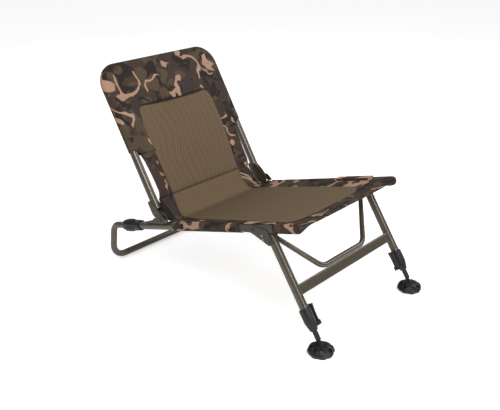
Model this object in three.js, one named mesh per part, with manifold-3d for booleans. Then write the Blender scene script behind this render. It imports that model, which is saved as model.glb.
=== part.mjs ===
import {
  BoxGeometry, BufferAttribute, BufferGeometry, Color, Curve, CylinderGeometry,
  ExtrudeGeometry, Group, LatheGeometry, MathUtils, Matrix4, Mesh, MeshStandardMaterial,
  Box3, Path, Shape, SphereGeometry, Vector2, Vector3,
} from 'three';
import { mergeVertices } from 'three/addons/utils/BufferGeometryUtils.js';
import Module from 'manifold-3d';

// Low reclining chair, millimetres, +Z up, facing -Y, +X on the sitter's left.
// Two sloping side rails carry everything. The backrest hoop pivots on ratchet hinges, the front
// legs and a short stand fold back under the seat, and a bent rear bar telescopes into the rails.

// General
const GAP = 0.3;
const OVERRUN = 4;
const MERGE_DISTANCE = 0.001;
const ROUNDING = 1e-9;
const SIDES = [{ name: 'left', sign: 1 }, { name: 'right', sign: -1 }];

// Side rails: measured along the rail from its front tip, and square to it
const RAIL_SPACING = 470;
const RAIL_SLOPE = MathUtils.degToRad(15.24);
const RAIL_TIP_HEIGHT = 342;
const RAIL_LENGTH = 655;
const TUBE_DIAMETER = 25;
const TUBE_WALL = 1.5;
const PLUG_SHANK = 16;
const PLUG_HEAD = 3;

// Sheet metal, rivets and pins
const SADDLE_SHEET = 1.5;
const PLATE_SHEET = 2;
const RIVET_DIAMETER = 7;
const RIVET_HEAD_DIAMETER = 12;
const RIVET_HEAD_HEIGHT = 2;
const SMALL_RIVET_DIAMETER = 4.2;
const SMALL_RIVET_HEAD_DIAMETER = 7.5;
const SMALL_RIVET_HEAD_HEIGHT = 1.4;

// Backrest hinge: pivot place on the rail
const HINGE_FROM_REAR_END = 128;
const HINGE_ALONG = RAIL_LENGTH - HINGE_FROM_REAR_END;
const HINGE_RISE = 23.5;
const HINGE_PLATE_FRONT_AHEAD = 29;
const HINGE_PLATE_NOSE_AHEAD = 33;
const HINGE_PLATE_NOSE_RISE = 37;
const HINGE_PLATE_TOP_BEHIND = 17;
const HINGE_PLATE_TOP_RISE = 80;
const HINGE_PLATE_TOP_WIDTH = 9;
const HINGE_PLATE_HEEL_BEHIND = 26;
const HINGE_PLATE_HEEL_RISE = 25;
const HINGE_PLATE_TAIL_BEHIND = 71;
const HINGE_PLATE_TAIL_RISE = 18;
const HINGE_EAR_RADIUS = 12;
const HINGE_PLATE_CORNER = 7;
const HINGE_WEB_FRONT_LENGTH = 8;
const HINGE_WEB_REAR_LENGTH = 21;

// Ratchet inside the hinge
const SECTOR_RADIUS = 17;
const SECTOR_TOOTH_DEPTH = 2.2;
const SECTOR_TEETH = 18;
const SECTOR_THICKNESS = 5;
const SECTOR_FOOT_LENGTH = 22;
const PAWL_THICKNESS = 7;
const PAWL_PIN_BEHIND = 17;
const PAWL_PIN_UP = 27;
const PAWL_PIN_DIAMETER = 4;
const PAWL_EYE_DIAMETER = 9;
const PAWL_NOSE_WIDTH = 4;

// Backrest hoop: measured up the back from the pivot, and behind the pivot
const BACK_ANGLE = MathUtils.degToRad(59.3);
const BACK_TUBE_BEHIND = 12;
const BACK_TUBE_START = 36;
const BACK_TUBE_TOP = 492.5;
const BACK_CORNER_RADIUS = 56;
const CHANNEL_TOP = 66;
const CHANNEL_EYE_RADIUS = 10.5;
const CHANNEL_FRONT_LIP = 5;

// Rear bar and its twist collars
const REAR_TUBE_DIAMETER = 21;
const REAR_TUBE_INSERTION_LENGTH = 180;
const REAR_CORNER_BEYOND = 132;
const REAR_DROP_SLANT = MathUtils.degToRad(6.8);
const REAR_BEND_RADIUS = 38;
const FERRULE_GRIP_LENGTH = 12;
const FERRULE_FLANGE_LENGTH = 16;
const FERRULE_FLANGE_DIAMETER = 34;
const FERRULE_NOSE_DIAMETER = 29;
const FERRULE_NOSE_LENGTH = 55;
const COLLAR_LENGTH = 63;
const COLLAR_DIAMETER = 41;
const COLLAR_NECK_DIAMETER = 35;
const COLLAR_NECK_LENGTH = 18;
const COLLAR_CHAMFER = 9;
const COLLAR_FLATS = 8;
const BUSH_HEAD = 6;
const BUSH_SHANK = 12;

// Front legs: pivot on the rail, leg axis in front of it
const LEG_PIVOT_ALONG = 149;
const LEG_LEAN = MathUtils.degToRad(33.2);
const LEG_AXIS_OFFSET = 38.6;
const LEG_SADDLE_AHEAD = 68;
const LEG_SADDLE_BEHIND = 51;
const LEG_SADDLE_SKIRT = 9;
const LEG_SADDLE_TAIL = 3;
const LEG_SADDLE_EYE_RADIUS = 14;
const LEG_PLATE_EYE_RADIUS = 12.5;
const LEG_PLATE_BOTTOM = 58;
const LEG_PLATE_BOTTOM_WIDTH = 14;
const LEG_PLATE_SHOULDER = 27;
const LEG_PLATE_SHOULDER_WIDTH = 17;
const LEG_PLATE_UPPER_WIDTH = 11;
const LEG_PLATE_HEEL_DROP = 3;
const BOSS_OVERLAP = 1;
const LEG_RIVET_STEP = 50;
const STAND_PIN_PLACE = [24, 23.9];
const SPACER_PIN_PLACE = [21, 35.4];
const CROSSBAR_ABOVE_HOUSING = 50;
const CROSSBAR_WIDTH = 29;
const CROSSBAR_THICKNESS = 13;
const CROSSBAR_ROUND = 3;

// Leg lock housing, lever and lower leg
const HOUSING_ABOVE_BALL = 108.5;
const HOUSING_LENGTH = 64;
const HOUSING_DIAMETER = 34;
const HOUSING_BOTTOM_DIAMETER = 22;
const HOUSING_TAPER_LENGTH = 26;
const HOUSING_RIB_DEPTH = 1.6;
const HOUSING_RIBS = 10;
const HOUSING_SOCKET = 24;
const GROOVE_SEGMENTS = 6;
const LOWER_LEG_DIAMETER = 15;
const LOWER_LEG_INSERTION = 96;
const LEG_BUSH_LENGTH = 14;
const LEVER_PIVOT_DROP = 52;
const LEVER_LENGTH = 56;
const LEVER_WIDTH = 18;
const LEVER_THICKNESS = 5.5;
const LEVER_STANDOFF = 0.8;
const LEVER_TIP_FLARE = 3.5;
const LEVER_BEND_SHARE = 0.75;
const LEVER_HOLLOW_SHARE = 0.33;
const LEVER_EYE_DIAMETER = 8.5;
const LEVER_PIN_DIAMETER = 3.6;
const LEVER_CHEEK = 3;

// Mud feet
const BALL_HEIGHT = 24;
const BALL_DIAMETER = 15;
const BALL_NECK_DIAMETER = 7;
const BALL_NECK_LENGTH = 9;
const SOCKET_CLEARANCE = 0.4;
const FOOT_DIAMETER = 77;
const FOOT_LIP_RISE = 2;
const FOOT_RIM_HEIGHT = 9;
const FOOT_BASE_INSET = 4;
const FOOT_HUB_DIAMETER = 24;
const FOOT_LOBES = 8;
const FOOT_LOBE_DEPTH = 2.6;
const FOOT_LOBE_STEPS = 4;
const FOOT_SHOULDER_SHARE = 0.67;
const FOOT_POCKET_DIAMETER = 15;
const FOOT_POCKET_DEPTH = 3;
const FOOT_POCKET_CIRCLE = 55;
const FOOT_POCKET_TILT = MathUtils.degToRad(38);

// Low stand
const STAND_TUBE_DIAMETER = 16;
const STAND_LEAN = MathUtils.degToRad(6.9);
const STAND_TO_CROSSBAR = 46.2;
const STAND_BOTTOM_INSET = 132.5;
const STAND_BEND_RADIUS = 45;
const STAND_BLADE_LENGTH = 22;
const STAND_BLADE_THICKNESS = 4;
const STAND_BLADE_WIDTH = 15;

// Seat cover, measured along the rails and above their axes
const SLEEVE_FABRIC = 1.4;
const SLEEVE_TO_HINGE = 41;
const SLEEVE_TO_SADDLE = 3;
const SEAT_FRONT = 4;
const SEAT_TO_HINGE = 19;
const SEAT_PAD = 7;
const SEAT_EDGE_PAD = 3;
const SEAT_EDGE_LIFT = 9;
const SEAT_HEM_LIFT = 4;
const SEAT_HEM_SHARE = 0.17;
const SEAT_EDGE_POWER = 6;
const PANEL_EDGE_POWER = 4;
const SEAT_SAG = 9;
const SEAT_REAR_LIFT = 3;
const SEAT_EDGE_INSET = 9;
const SEAT_REAR_INSET = 37;
const SEAT_SADDLE_INSET = 27;

// Back cover, measured up the back from the pivot
const POCKET_START = 226;
const BACK_COVER_BOTTOM = 22;
const BACK_PAD = 11;
const BACK_EDGE_PAD = 3;
const BACK_FRONT_AT_POCKET = 2;
const BACK_FRONT_AT_SEAM = 11;
const BACK_FRONT_AT_BOTTOM = 8;
const BACK_SEAM_UP = 63;
const POCKET_PAD = 9;
const BACK_WAIST_INSET = 28;
const BACK_FREE_INSET = 21;
const BACK_EDGE_BEHIND = 6;
const PANEL_COLUMNS = 15;
const PANEL_ROWS = 12;

// Crease strip between seat and back
const CREASE_INSET = 47;
const CREASE_PAD = 5;
const CREASE_CLEARANCE = 0.55;
const CREASE_STEPS = 8;
const CREASE_COLUMNS = 5;

// Facets
const ROUND_SEGMENTS = 16;
const SMALL_SEGMENTS = 8;
const BEND_STEPS = 4;
const CORNER_SEGMENTS = 3;

const wasm = await Module();
wasm.setup();

// Materials
function paint(color, roughness, metalness) {
  return new MeshStandardMaterial({ color: new Color(color), roughness, metalness });
}
const TUBE_PAINT = paint('#5a5342', 0.38, 0.2);
const SHEET_PAINT = paint('#555244', 0.45, 0.3);
const STEEL = paint('#8c8a84', 0.35, 0.9);
const BLACK_PLASTIC = paint('#232326', 0.45, 0);
const FOOT_RUBBER = paint('#202022', 0.6, 0);
const MESH_FABRIC = paint('#685844', 0.95, 0);

// Closed solids from geometry, and back
function toManifold(geometry) {
  const plain = geometry.index ? geometry.toNonIndexed() : geometry.clone();
  plain.deleteAttribute('normal');
  plain.deleteAttribute('uv');
  const merged = mergeVertices(plain, MERGE_DISTANCE);
  const corners = merged.index.array;
  const kept = [];
  for (let i = 0; i < corners.length; i += 3) {
    const [a, b, c] = [corners[i], corners[i + 1], corners[i + 2]];
    if (a !== b && b !== c && c !== a) kept.push(a, b, c);
  }
  return new wasm.Manifold(new wasm.Mesh({
    numProp: 3,
    vertProperties: new Float32Array(merged.attributes.position.array),
    triVerts: new Uint32Array(kept),
  }));
}

function toGeometry(manifold) {
  const body = manifold.getMesh();
  const geometry = new BufferGeometry();
  geometry.setAttribute('position', new BufferAttribute(new Float32Array(body.vertProperties), 3));
  geometry.setIndex(new BufferAttribute(new Uint32Array(body.triVerts), 1));
  geometry.computeVertexNormals();
  return geometry;
}

function join(geometries) {
  return toGeometry(geometries.map(toManifold).reduce((a, b) => a.add(b)));
}

function cut(geometry, cutters) {
  return toGeometry(cutters.map(toManifold).reduce((a, b) => a.subtract(b), toManifold(geometry)));
}

function addMesh(parent, name, geometry, material) {
  const mesh = new Mesh(geometry, material);
  mesh.name = name;
  parent.add(mesh);
  return mesh;
}

// Basic forms
function rod(diameter, length, segments = ROUND_SEGMENTS) {
  return new CylinderGeometry(diameter / 2, diameter / 2, length, segments);
}

function rodAcross(diameter, from, to, along = 0, up = 0, segments = ROUND_SEGMENTS) {
  return rod(diameter, to - from, segments).rotateZ(Math.PI / 2).translate((from + to) / 2, along, up);
}

function rodUp(diameter, from, to, segments = ROUND_SEGMENTS) {
  return rod(diameter, to - from, segments).rotateX(Math.PI / 2).translate(0, 0, (from + to) / 2);
}

function box(x0, x1, y0, y1, z0, z1) {
  return new BoxGeometry(x1 - x0, y1 - y0, z1 - z0)
    .translate((x0 + x1) / 2, (y0 + y1) / 2, (z0 + z1) / 2);
}

function ringShape(outer, inner) {
  const shape = new Shape().absarc(0, 0, outer / 2, 0, Math.PI * 2);
  if (inner > 0) shape.holes.push(new Path().absarc(0, 0, inner / 2, 0, Math.PI * 2, true));
  return shape;
}

// A pipe along Y from one place to another
function pipeAlong(outer, inner, from, to, segments = ROUND_SEGMENTS) {
  const geometry = new ExtrudeGeometry(ringShape(outer, inner), {
    depth: to - from, bevelEnabled: false, curveSegments: segments / 2,
  });
  return geometry.rotateX(-Math.PI / 2).translate(0, from, 0);
}

// A lathe profile of [radius, place] pairs turned about the Y axis
function turned(profile, segments = ROUND_SEGMENTS) {
  return new LatheGeometry(profile.map(([r, y]) => new Vector2(r, y)), segments);
}

// A rivet across X with a head at each end, or flush at the end on one side
function rivetAcross(shank, head, headHeight, from, to, along, up, flushEnd = 0) {
  const start = flushEnd < 0 ? from : from - headHeight;
  const end = flushEnd > 0 ? to : to + headHeight;
  const pieces = [rodAcross(shank, start, end, along, up, SMALL_SEGMENTS)];
  if (start < from) pieces.push(rodAcross(head, start, from, along, up, SMALL_SEGMENTS));
  if (end > to) pieces.push(rodAcross(head, to, end, along, up, SMALL_SEGMENTS));
  return join(pieces);
}

// Straight runs joined by round bends; each run is one step and each bend a few
class BentPath extends Curve {
  constructor(corners, bendRadius) {
    super();
    this.stations = [corners[0]];
    for (let i = 1; i < corners.length - 1; i += 1) {
      this.stations.push(...BentPath.bend(corners[i - 1], corners[i], corners[i + 1], bendRadius));
    }
    this.stations.push(corners[corners.length - 1]);
    this.tangents = this.stations.map((place, i) => {
      const before = this.stations[Math.max(i - 1, 0)];
      const after = this.stations[Math.min(i + 1, this.stations.length - 1)];
      const arriving = place.clone().sub(before).normalize();
      const leaving = after.clone().sub(place).normalize();
      return arriving.add(leaving).normalize();
    });
  }

  static bend(before, corner, after, radius) {
    const back = before.clone().sub(corner).normalize();
    const ahead = after.clone().sub(corner).normalize();
    const half = Math.acos(MathUtils.clamp(back.dot(ahead), -1, 1)) / 2;
    const centre = back.clone().add(ahead).normalize()
      .multiplyScalar(radius / Math.sin(half)).add(corner);
    const start = back.clone().multiplyScalar(radius / Math.tan(half)).add(corner).sub(centre);
    const end = ahead.clone().multiplyScalar(radius / Math.tan(half)).add(corner).sub(centre);
    const axis = start.clone().cross(end).normalize();
    const sweep = start.angleTo(end);
    const places = [];
    for (let step = 0; step <= BEND_STEPS; step += 1) {
      places.push(start.clone().applyAxisAngle(axis, sweep * step / BEND_STEPS).add(centre));
    }
    return places;
  }

  get steps() {
    return this.stations.length - 1;
  }

  getPointAt(share, target = new Vector3()) {
    const place = share * this.steps;
    const i = Math.min(Math.floor(place + ROUNDING), this.steps);
    const next = Math.min(i + 1, this.steps);
    return target.copy(this.stations[i]).lerp(this.stations[next], Math.max(place - i, 0));
  }

  getPoint(share, target) {
    return this.getPointAt(share, target);
  }

  getTangentAt(share, target = new Vector3()) {
    return target.copy(this.tangents[Math.round(share * this.steps)]);
  }
}

function bentTube(outer, inner, corners, bendRadius, segments = ROUND_SEGMENTS) {
  const path = new BentPath(corners, bendRadius);
  return new ExtrudeGeometry(ringShape(outer, inner), {
    steps: path.steps, extrudePath: path, curveSegments: segments / 2,
  });
}

// A plate across X cut to an outline of [along, up] points, with round corners
function plate(outline, x0, x1, cornerRadius = 0) {
  const points = outline.map(([y, z]) => new Vector3(y, z, 0));
  const shape = new Shape();
  points.forEach((corner, i) => {
    const before = points[(i + points.length - 1) % points.length];
    const after = points[(i + 1) % points.length];
    const reach = Math.min(cornerRadius, corner.distanceTo(before) / 2, corner.distanceTo(after) / 2);
    const enter = corner.clone().lerp(before, reach / corner.distanceTo(before));
    const leave = corner.clone().lerp(after, reach / corner.distanceTo(after));
    if (i === 0) shape.moveTo(enter.x, enter.y);
    else shape.lineTo(enter.x, enter.y);
    if (reach > 0) shape.quadraticCurveTo(corner.x, corner.y, leave.x, leave.y);
  });
  shape.closePath();
  const geometry = new ExtrudeGeometry(shape, {
    depth: x1 - x0, bevelEnabled: false, curveSegments: CORNER_SEGMENTS,
  });
  // The outline's X and Y become the solid's Y and Z, and its depth runs along X
  geometry.applyMatrix4(new Matrix4().set(0, 0, 1, x0, 1, 0, 0, 0, 0, 1, 0, 0, 0, 0, 0, 1));
  return geometry;
}

// A closed panel between an upper and a lower surface on one grid
function panel(columns, rows, upper, lower) {
  const positions = [];
  const index = [];
  const at = (layer, i, j) => layer * (columns + 1) * (rows + 1) + j * (columns + 1) + i;
  [upper, lower].forEach((surface) => {
    for (let j = 0; j <= rows; j += 1) {
      for (let i = 0; i <= columns; i += 1) positions.push(...surface(i / columns, j / rows));
    }
  });
  const quad = (a, b, c, d) => index.push(a, b, c, a, c, d);
  for (let j = 0; j < rows; j += 1) {
    for (let i = 0; i < columns; i += 1) {
      quad(at(0, i, j), at(0, i + 1, j), at(0, i + 1, j + 1), at(0, i, j + 1));
      quad(at(1, i, j), at(1, i, j + 1), at(1, i + 1, j + 1), at(1, i + 1, j));
    }
  }
  for (let i = 0; i < columns; i += 1) {
    quad(at(0, i + 1, 0), at(0, i, 0), at(1, i, 0), at(1, i + 1, 0));
    quad(at(0, i, rows), at(0, i + 1, rows), at(1, i + 1, rows), at(1, i, rows));
  }
  for (let j = 0; j < rows; j += 1) {
    quad(at(0, 0, j), at(0, 0, j + 1), at(1, 0, j + 1), at(1, 0, j));
    quad(at(0, columns, j + 1), at(0, columns, j), at(1, columns, j), at(1, columns, j + 1));
  }
  const geometry = new BufferGeometry();
  geometry.setAttribute('position', new BufferAttribute(new Float32Array(positions), 3));
  geometry.setIndex(index);
  return geometry;
}

// Places worked out from the sizes above
const TUBE_RADIUS = TUBE_DIAMETER / 2;
const TUBE_BORE = TUBE_DIAMETER - 2 * TUBE_WALL;
const SHEET_IN = TUBE_RADIUS + GAP;
const SHEET_OUT = SHEET_IN + SADDLE_SHEET;
const PLATE_IN = SHEET_OUT + GAP;
const PLATE_OUT = PLATE_IN + PLATE_SHEET;
const HALF_SPACING = RAIL_SPACING / 2;
const LEG_SADDLE_START = LEG_PIVOT_ALONG - LEG_SADDLE_AHEAD;
const LEG_SADDLE_END = LEG_PIVOT_ALONG + LEG_SADDLE_BEHIND;
const REAR_CORNER_ALONG = RAIL_LENGTH + REAR_CORNER_BEYOND;
const FERRULE_START = RAIL_LENGTH - FERRULE_GRIP_LENGTH;
const SEAT_REAR = HINGE_ALONG - SEAT_TO_HINGE;
const SLEEVE_REAR_END = HINGE_ALONG - SLEEVE_TO_HINGE;
const SLEEVE_REAR_START = LEG_SADDLE_END + SLEEVE_TO_SADDLE;
const SLEEVE_FRONT_END = LEG_SADDLE_START - SLEEVE_TO_SADDLE;
const SEAT_EDGE_HALF_WIDTH = HALF_SPACING - SEAT_EDGE_INSET;
const SEAT_REAR_HALF_WIDTH = HALF_SPACING - SEAT_REAR_INSET;
const SEAT_SADDLE_HALF_WIDTH = HALF_SPACING - SEAT_SADDLE_INSET;
const BACK_WAIST_HALF_WIDTH = HALF_SPACING - BACK_WAIST_INSET;
const BACK_FREE_HALF_WIDTH = HALF_SPACING - BACK_FREE_INSET;
const CREASE_HALF_WIDTH = HALF_SPACING - CREASE_INSET;
const SLEEVE_IN = TUBE_RADIUS + GAP;
const SLEEVE_OUT = SLEEVE_IN + SLEEVE_FABRIC;
const RIVET_HOLE = RIVET_DIAMETER + 2 * GAP;
const SMALL_RIVET_HOLE = SMALL_RIVET_DIAMETER + 2 * GAP;

// The chair frame has Y = 0 at the rail tips until everything is centred at the end
function railPlace(x, along, up) {
  return new Vector3(
    x,
    along * Math.cos(RAIL_SLOPE) + up * Math.sin(RAIL_SLOPE),
    RAIL_TIP_HEIGHT - along * Math.sin(RAIL_SLOPE) + up * Math.cos(RAIL_SLOPE),
  );
}
const HINGE_PIVOT = railPlace(0, HINGE_ALONG, HINGE_RISE);
const LEG_PIVOT = railPlace(0, LEG_PIVOT_ALONG, 0);
const BACK_TURN = BACK_ANGLE - Math.PI / 2;

const chair = new Group();
const railFrame = new Group();
railFrame.position.z = RAIL_TIP_HEIGHT;
railFrame.rotation.x = -RAIL_SLOPE;
const backFrame = new Group();
backFrame.position.copy(HINGE_PIVOT);
backFrame.rotation.x = BACK_TURN;
const legFrame = new Group();
legFrame.position.copy(LEG_PIVOT);
legFrame.rotation.x = -LEG_LEAN;
const standFrame = new Group();
standFrame.position.set(0, -STAND_PIN_PLACE[0], -STAND_PIN_PLACE[1]);
standFrame.rotation.x = -STAND_LEAN;
legFrame.add(standFrame);
chair.add(railFrame, backFrame, legFrame);

function sideFrame(parent, sign) {
  const frame = new Group();
  frame.position.x = sign * HALF_SPACING;
  parent.add(frame);
  return frame;
}

// Seat rail with its front plug
function addRail(frame, side) {
  const tube = pipeAlong(TUBE_DIAMETER, TUBE_BORE, 0, RAIL_LENGTH);
  const pivotHole = rodAcross(RIVET_HOLE, -TUBE_DIAMETER, TUBE_DIAMETER, LEG_PIVOT_ALONG, 0);
  addMesh(frame, `seat_rail_${side.name}`, cut(tube, [pivotHole]), TUBE_PAINT);
  const plug = turned([
    [0, -GAP - PLUG_HEAD], [TUBE_RADIUS, -GAP - PLUG_HEAD], [TUBE_RADIUS, -GAP],
    [TUBE_BORE / 2 - GAP, -GAP], [TUBE_BORE / 2 - GAP, PLUG_SHANK], [0, PLUG_SHANK],
  ]);
  addMesh(frame, `rail_plug_${side.name}`, plug, BLACK_PLASTIC);
}

// A tall inner and a low outer plate on the rail, joined by a web in front of and behind the pivot
function addHingeBracket(frame, side) {
  const front = HINGE_ALONG - HINGE_PLATE_FRONT_AHEAD;
  const top = HINGE_ALONG + HINGE_PLATE_TOP_BEHIND;
  const tail = HINGE_ALONG + HINGE_PLATE_TAIL_BEHIND;
  const webBottom = TUBE_RADIUS + GAP;
  const webTop = webBottom + PLATE_SHEET;
  const heel = [HINGE_ALONG + HINGE_PLATE_HEEL_BEHIND, HINGE_PLATE_HEEL_RISE];
  const foot = [[tail, HINGE_PLATE_TAIL_RISE], [tail, webBottom]];
  const inner = [
    [front, webBottom], [HINGE_ALONG - HINGE_PLATE_NOSE_AHEAD, HINGE_PLATE_NOSE_RISE],
    [top - HINGE_PLATE_TOP_WIDTH, HINGE_PLATE_TOP_RISE], [top, HINGE_PLATE_TOP_RISE], heel, ...foot,
  ];
  const outer = [
    [front, webBottom], [HINGE_ALONG - HINGE_EAR_RADIUS, HINGE_RISE + HINGE_EAR_RADIUS],
    [HINGE_ALONG + HINGE_EAR_RADIUS, HINGE_RISE + HINGE_EAR_RADIUS], heel, ...foot,
  ];
  const [low, high] = side.sign > 0 ? [inner, outer] : [outer, inner];
  const body = join([
    plate(low, -PLATE_OUT, -PLATE_IN, HINGE_PLATE_CORNER),
    plate(high, PLATE_IN, PLATE_OUT, HINGE_PLATE_CORNER),
    box(-PLATE_OUT, PLATE_OUT, front, front + HINGE_WEB_FRONT_LENGTH, webBottom, webTop),
    box(-PLATE_OUT, PLATE_OUT, tail - HINGE_WEB_REAR_LENGTH, tail - GAP, webBottom, webTop),
  ]);
  const hole = rodAcross(RIVET_HOLE, -TUBE_DIAMETER, TUBE_DIAMETER, HINGE_ALONG, HINGE_RISE);
  addMesh(frame, `hinge_bracket_${side.name}`, cut(body, [hole]), SHEET_PAINT);
}

// Toothed plate on the rail that the pawl of the backrest catches
function addSector(frame, side) {
  const shape = new Shape();
  for (let i = 0; i < 2 * SECTOR_TEETH; i += 1) {
    const radius = SECTOR_RADIUS - (i % 2) * SECTOR_TOOTH_DEPTH;
    const angle = Math.PI * i / SECTOR_TEETH;
    shape[i ? 'lineTo' : 'moveTo'](radius * Math.cos(angle), radius * Math.sin(angle));
  }
  shape.closePath();
  const half = SECTOR_THICKNESS / 2;
  const disc = new ExtrudeGeometry(shape, { depth: SECTOR_THICKNESS, bevelEnabled: false });
  disc.applyMatrix4(new Matrix4().set(0, 0, 1, -half, 1, 0, 0, 0, 0, 1, 0, 0, 0, 0, 0, 1));
  disc.translate(0, HINGE_ALONG, HINGE_RISE);
  const footing = box(-half, half, HINGE_ALONG - SECTOR_FOOT_LENGTH / 2,
    HINGE_ALONG + SECTOR_FOOT_LENGTH / 2, TUBE_RADIUS, HINGE_RISE);
  const railSpace = box(-HALF_SPACING, HALF_SPACING, 0, RAIL_LENGTH, -TUBE_DIAMETER, SHEET_IN);
  const hole = rodAcross(RIVET_HOLE, -TUBE_DIAMETER, TUBE_DIAMETER, HINGE_ALONG, HINGE_RISE);
  const sector = cut(join([disc, footing]), [railSpace, hole]);
  addMesh(frame, `ratchet_sector_${side.name}`, sector, STEEL);
}

// Folded channel over the rail that carries the leg rivet
function addLegSaddle(frame, side) {
  const ear = [
    [LEG_SADDLE_START, -LEG_SADDLE_SKIRT], [LEG_SADDLE_START, SHEET_OUT],
    [LEG_SADDLE_END, SHEET_OUT], [LEG_SADDLE_END, -LEG_SADDLE_TAIL],
    [LEG_PIVOT_ALONG + LEG_SADDLE_EYE_RADIUS, -LEG_SADDLE_SKIRT],
  ];
  const eye = 2 * LEG_SADDLE_EYE_RADIUS;
  const body = join([
    plate(ear, -SHEET_OUT, -SHEET_IN),
    plate(ear, SHEET_IN, SHEET_OUT),
    rodAcross(eye, -SHEET_OUT, -SHEET_IN, LEG_PIVOT_ALONG, 0),
    rodAcross(eye, SHEET_IN, SHEET_OUT, LEG_PIVOT_ALONG, 0),
    box(-SHEET_OUT, SHEET_OUT, LEG_SADDLE_START, LEG_SADDLE_END, SHEET_IN, SHEET_OUT),
  ]);
  const above = box(-TUBE_DIAMETER, TUBE_DIAMETER, 0, RAIL_LENGTH, SHEET_OUT, TUBE_DIAMETER);
  const hole = rodAcross(RIVET_HOLE, -TUBE_DIAMETER, TUBE_DIAMETER, LEG_PIVOT_ALONG, 0);
  addMesh(frame, `leg_saddle_${side.name}`, cut(body, [above, hole]), SHEET_PAINT);
}

// Rivets that carry the backrest and the legs
function addPivotRivets(frame, side) {
  const reach = PLATE_OUT + GAP;
  const shape = (along, up) => rivetAcross(RIVET_DIAMETER, RIVET_HEAD_DIAMETER,
    RIVET_HEAD_HEIGHT, -reach, reach, along, up);
  addMesh(frame, `recline_rivet_${side.name}`, shape(HINGE_ALONG, HINGE_RISE), STEEL);
  addMesh(frame, `leg_rivet_${side.name}`, shape(LEG_PIVOT_ALONG, 0), STEEL);
}

// Flanged collet on the rail's rear end, and the twist collar that tightens it
function addCollar(frame, side) {
  const flangeEnd = FERRULE_START + FERRULE_FLANGE_LENGTH;
  const noseEnd = flangeEnd + FERRULE_NOSE_LENGTH;
  const slideBore = REAR_TUBE_DIAMETER / 2 + GAP;
  const ferrule = turned([
    [SHEET_IN, FERRULE_START], [FERRULE_FLANGE_DIAMETER / 2, FERRULE_START],
    [FERRULE_FLANGE_DIAMETER / 2, flangeEnd], [FERRULE_NOSE_DIAMETER / 2, flangeEnd],
    [FERRULE_NOSE_DIAMETER / 2, noseEnd], [slideBore, noseEnd],
    [slideBore, RAIL_LENGTH + GAP], [SHEET_IN, RAIL_LENGTH + GAP], [SHEET_IN, FERRULE_START],
  ]);
  addMesh(frame, `rail_ferrule_${side.name}`, ferrule, BLACK_PLASTIC);
  const start = flangeEnd + GAP;
  const end = start + COLLAR_LENGTH;
  const neckEnd = start + COLLAR_NECK_LENGTH;
  const outside = turned([
    [0, start], [COLLAR_NECK_DIAMETER / 2, start], [COLLAR_NECK_DIAMETER / 2, neckEnd],
    [COLLAR_DIAMETER / 2, neckEnd + COLLAR_CHAMFER / 2], [COLLAR_DIAMETER / 2, end - COLLAR_CHAMFER],
    [COLLAR_NECK_DIAMETER / 2, end], [0, end],
  ], COLLAR_FLATS).rotateY(Math.PI / COLLAR_FLATS);
  const noseBore = turned([
    [0, start - OVERRUN], [FERRULE_NOSE_DIAMETER / 2 + GAP, start - OVERRUN],
    [FERRULE_NOSE_DIAMETER / 2 + GAP, noseEnd + GAP], [0, noseEnd + GAP],
  ]);
  const tubeBore = turned([
    [0, start], [slideBore, start], [slideBore, end + OVERRUN], [0, end + OVERRUN],
  ]);
  addMesh(frame, `twist_collar_${side.name}`, cut(outside, [noseBore, tubeBore]), BLACK_PLASTIC);
}

// Bent bar that telescopes into both rails and stands on the ground behind
function addRearBar() {
  const radius = REAR_TUBE_DIAMETER / 2;
  const start = RAIL_LENGTH - REAR_TUBE_INSERTION_LENGTH;
  const top = railPlace(0, REAR_CORNER_ALONG, 0);
  const foot = new Vector3(0, top.y + (top.z - radius) * Math.tan(REAR_DROP_SLANT), radius);
  const end = railPlace(0, start, 0);
  const across = (place, sign) => place.clone().setX(sign * HALF_SPACING);
  const corners = [
    across(end, -1), across(top, -1), across(foot, -1),
    across(foot, 1), across(top, 1), across(end, 1),
  ];
  const bore = REAR_TUBE_DIAMETER - 2 * TUBE_WALL;
  const tube = bentTube(REAR_TUBE_DIAMETER, bore, corners, REAR_BEND_RADIUS);
  addMesh(chair, 'rear_bar_tube', tube, TUBE_PAINT);
  SIDES.forEach((side) => {
    const bush = turned([
      [0, start - GAP - BUSH_HEAD], [TUBE_BORE / 2 - GAP, start - GAP - BUSH_HEAD],
      [TUBE_BORE / 2 - GAP, start - GAP], [bore / 2 - GAP, start - GAP],
      [bore / 2 - GAP, start + BUSH_SHANK], [0, start + BUSH_SHANK],
    ]);
    addMesh(sideFrame(railFrame, side.sign), `rear_bar_bush_${side.name}`, bush, BLACK_PLASTIC);
  });
}

// Backrest hoop with the folded channels that hold its lower ends
function backCorners() {
  const place = (sign, up) => new Vector3(sign * HALF_SPACING, BACK_TUBE_BEHIND, up);
  return [
    place(-1, BACK_TUBE_START), place(-1, BACK_TUBE_TOP),
    place(1, BACK_TUBE_TOP), place(1, BACK_TUBE_START),
  ];
}

function addBackHoop() {
  const hoop = bentTube(TUBE_DIAMETER, TUBE_BORE, backCorners(), BACK_CORNER_RADIUS);
  addMesh(backFrame, 'back_hoop_tube', hoop, TUBE_PAINT);
}

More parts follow.
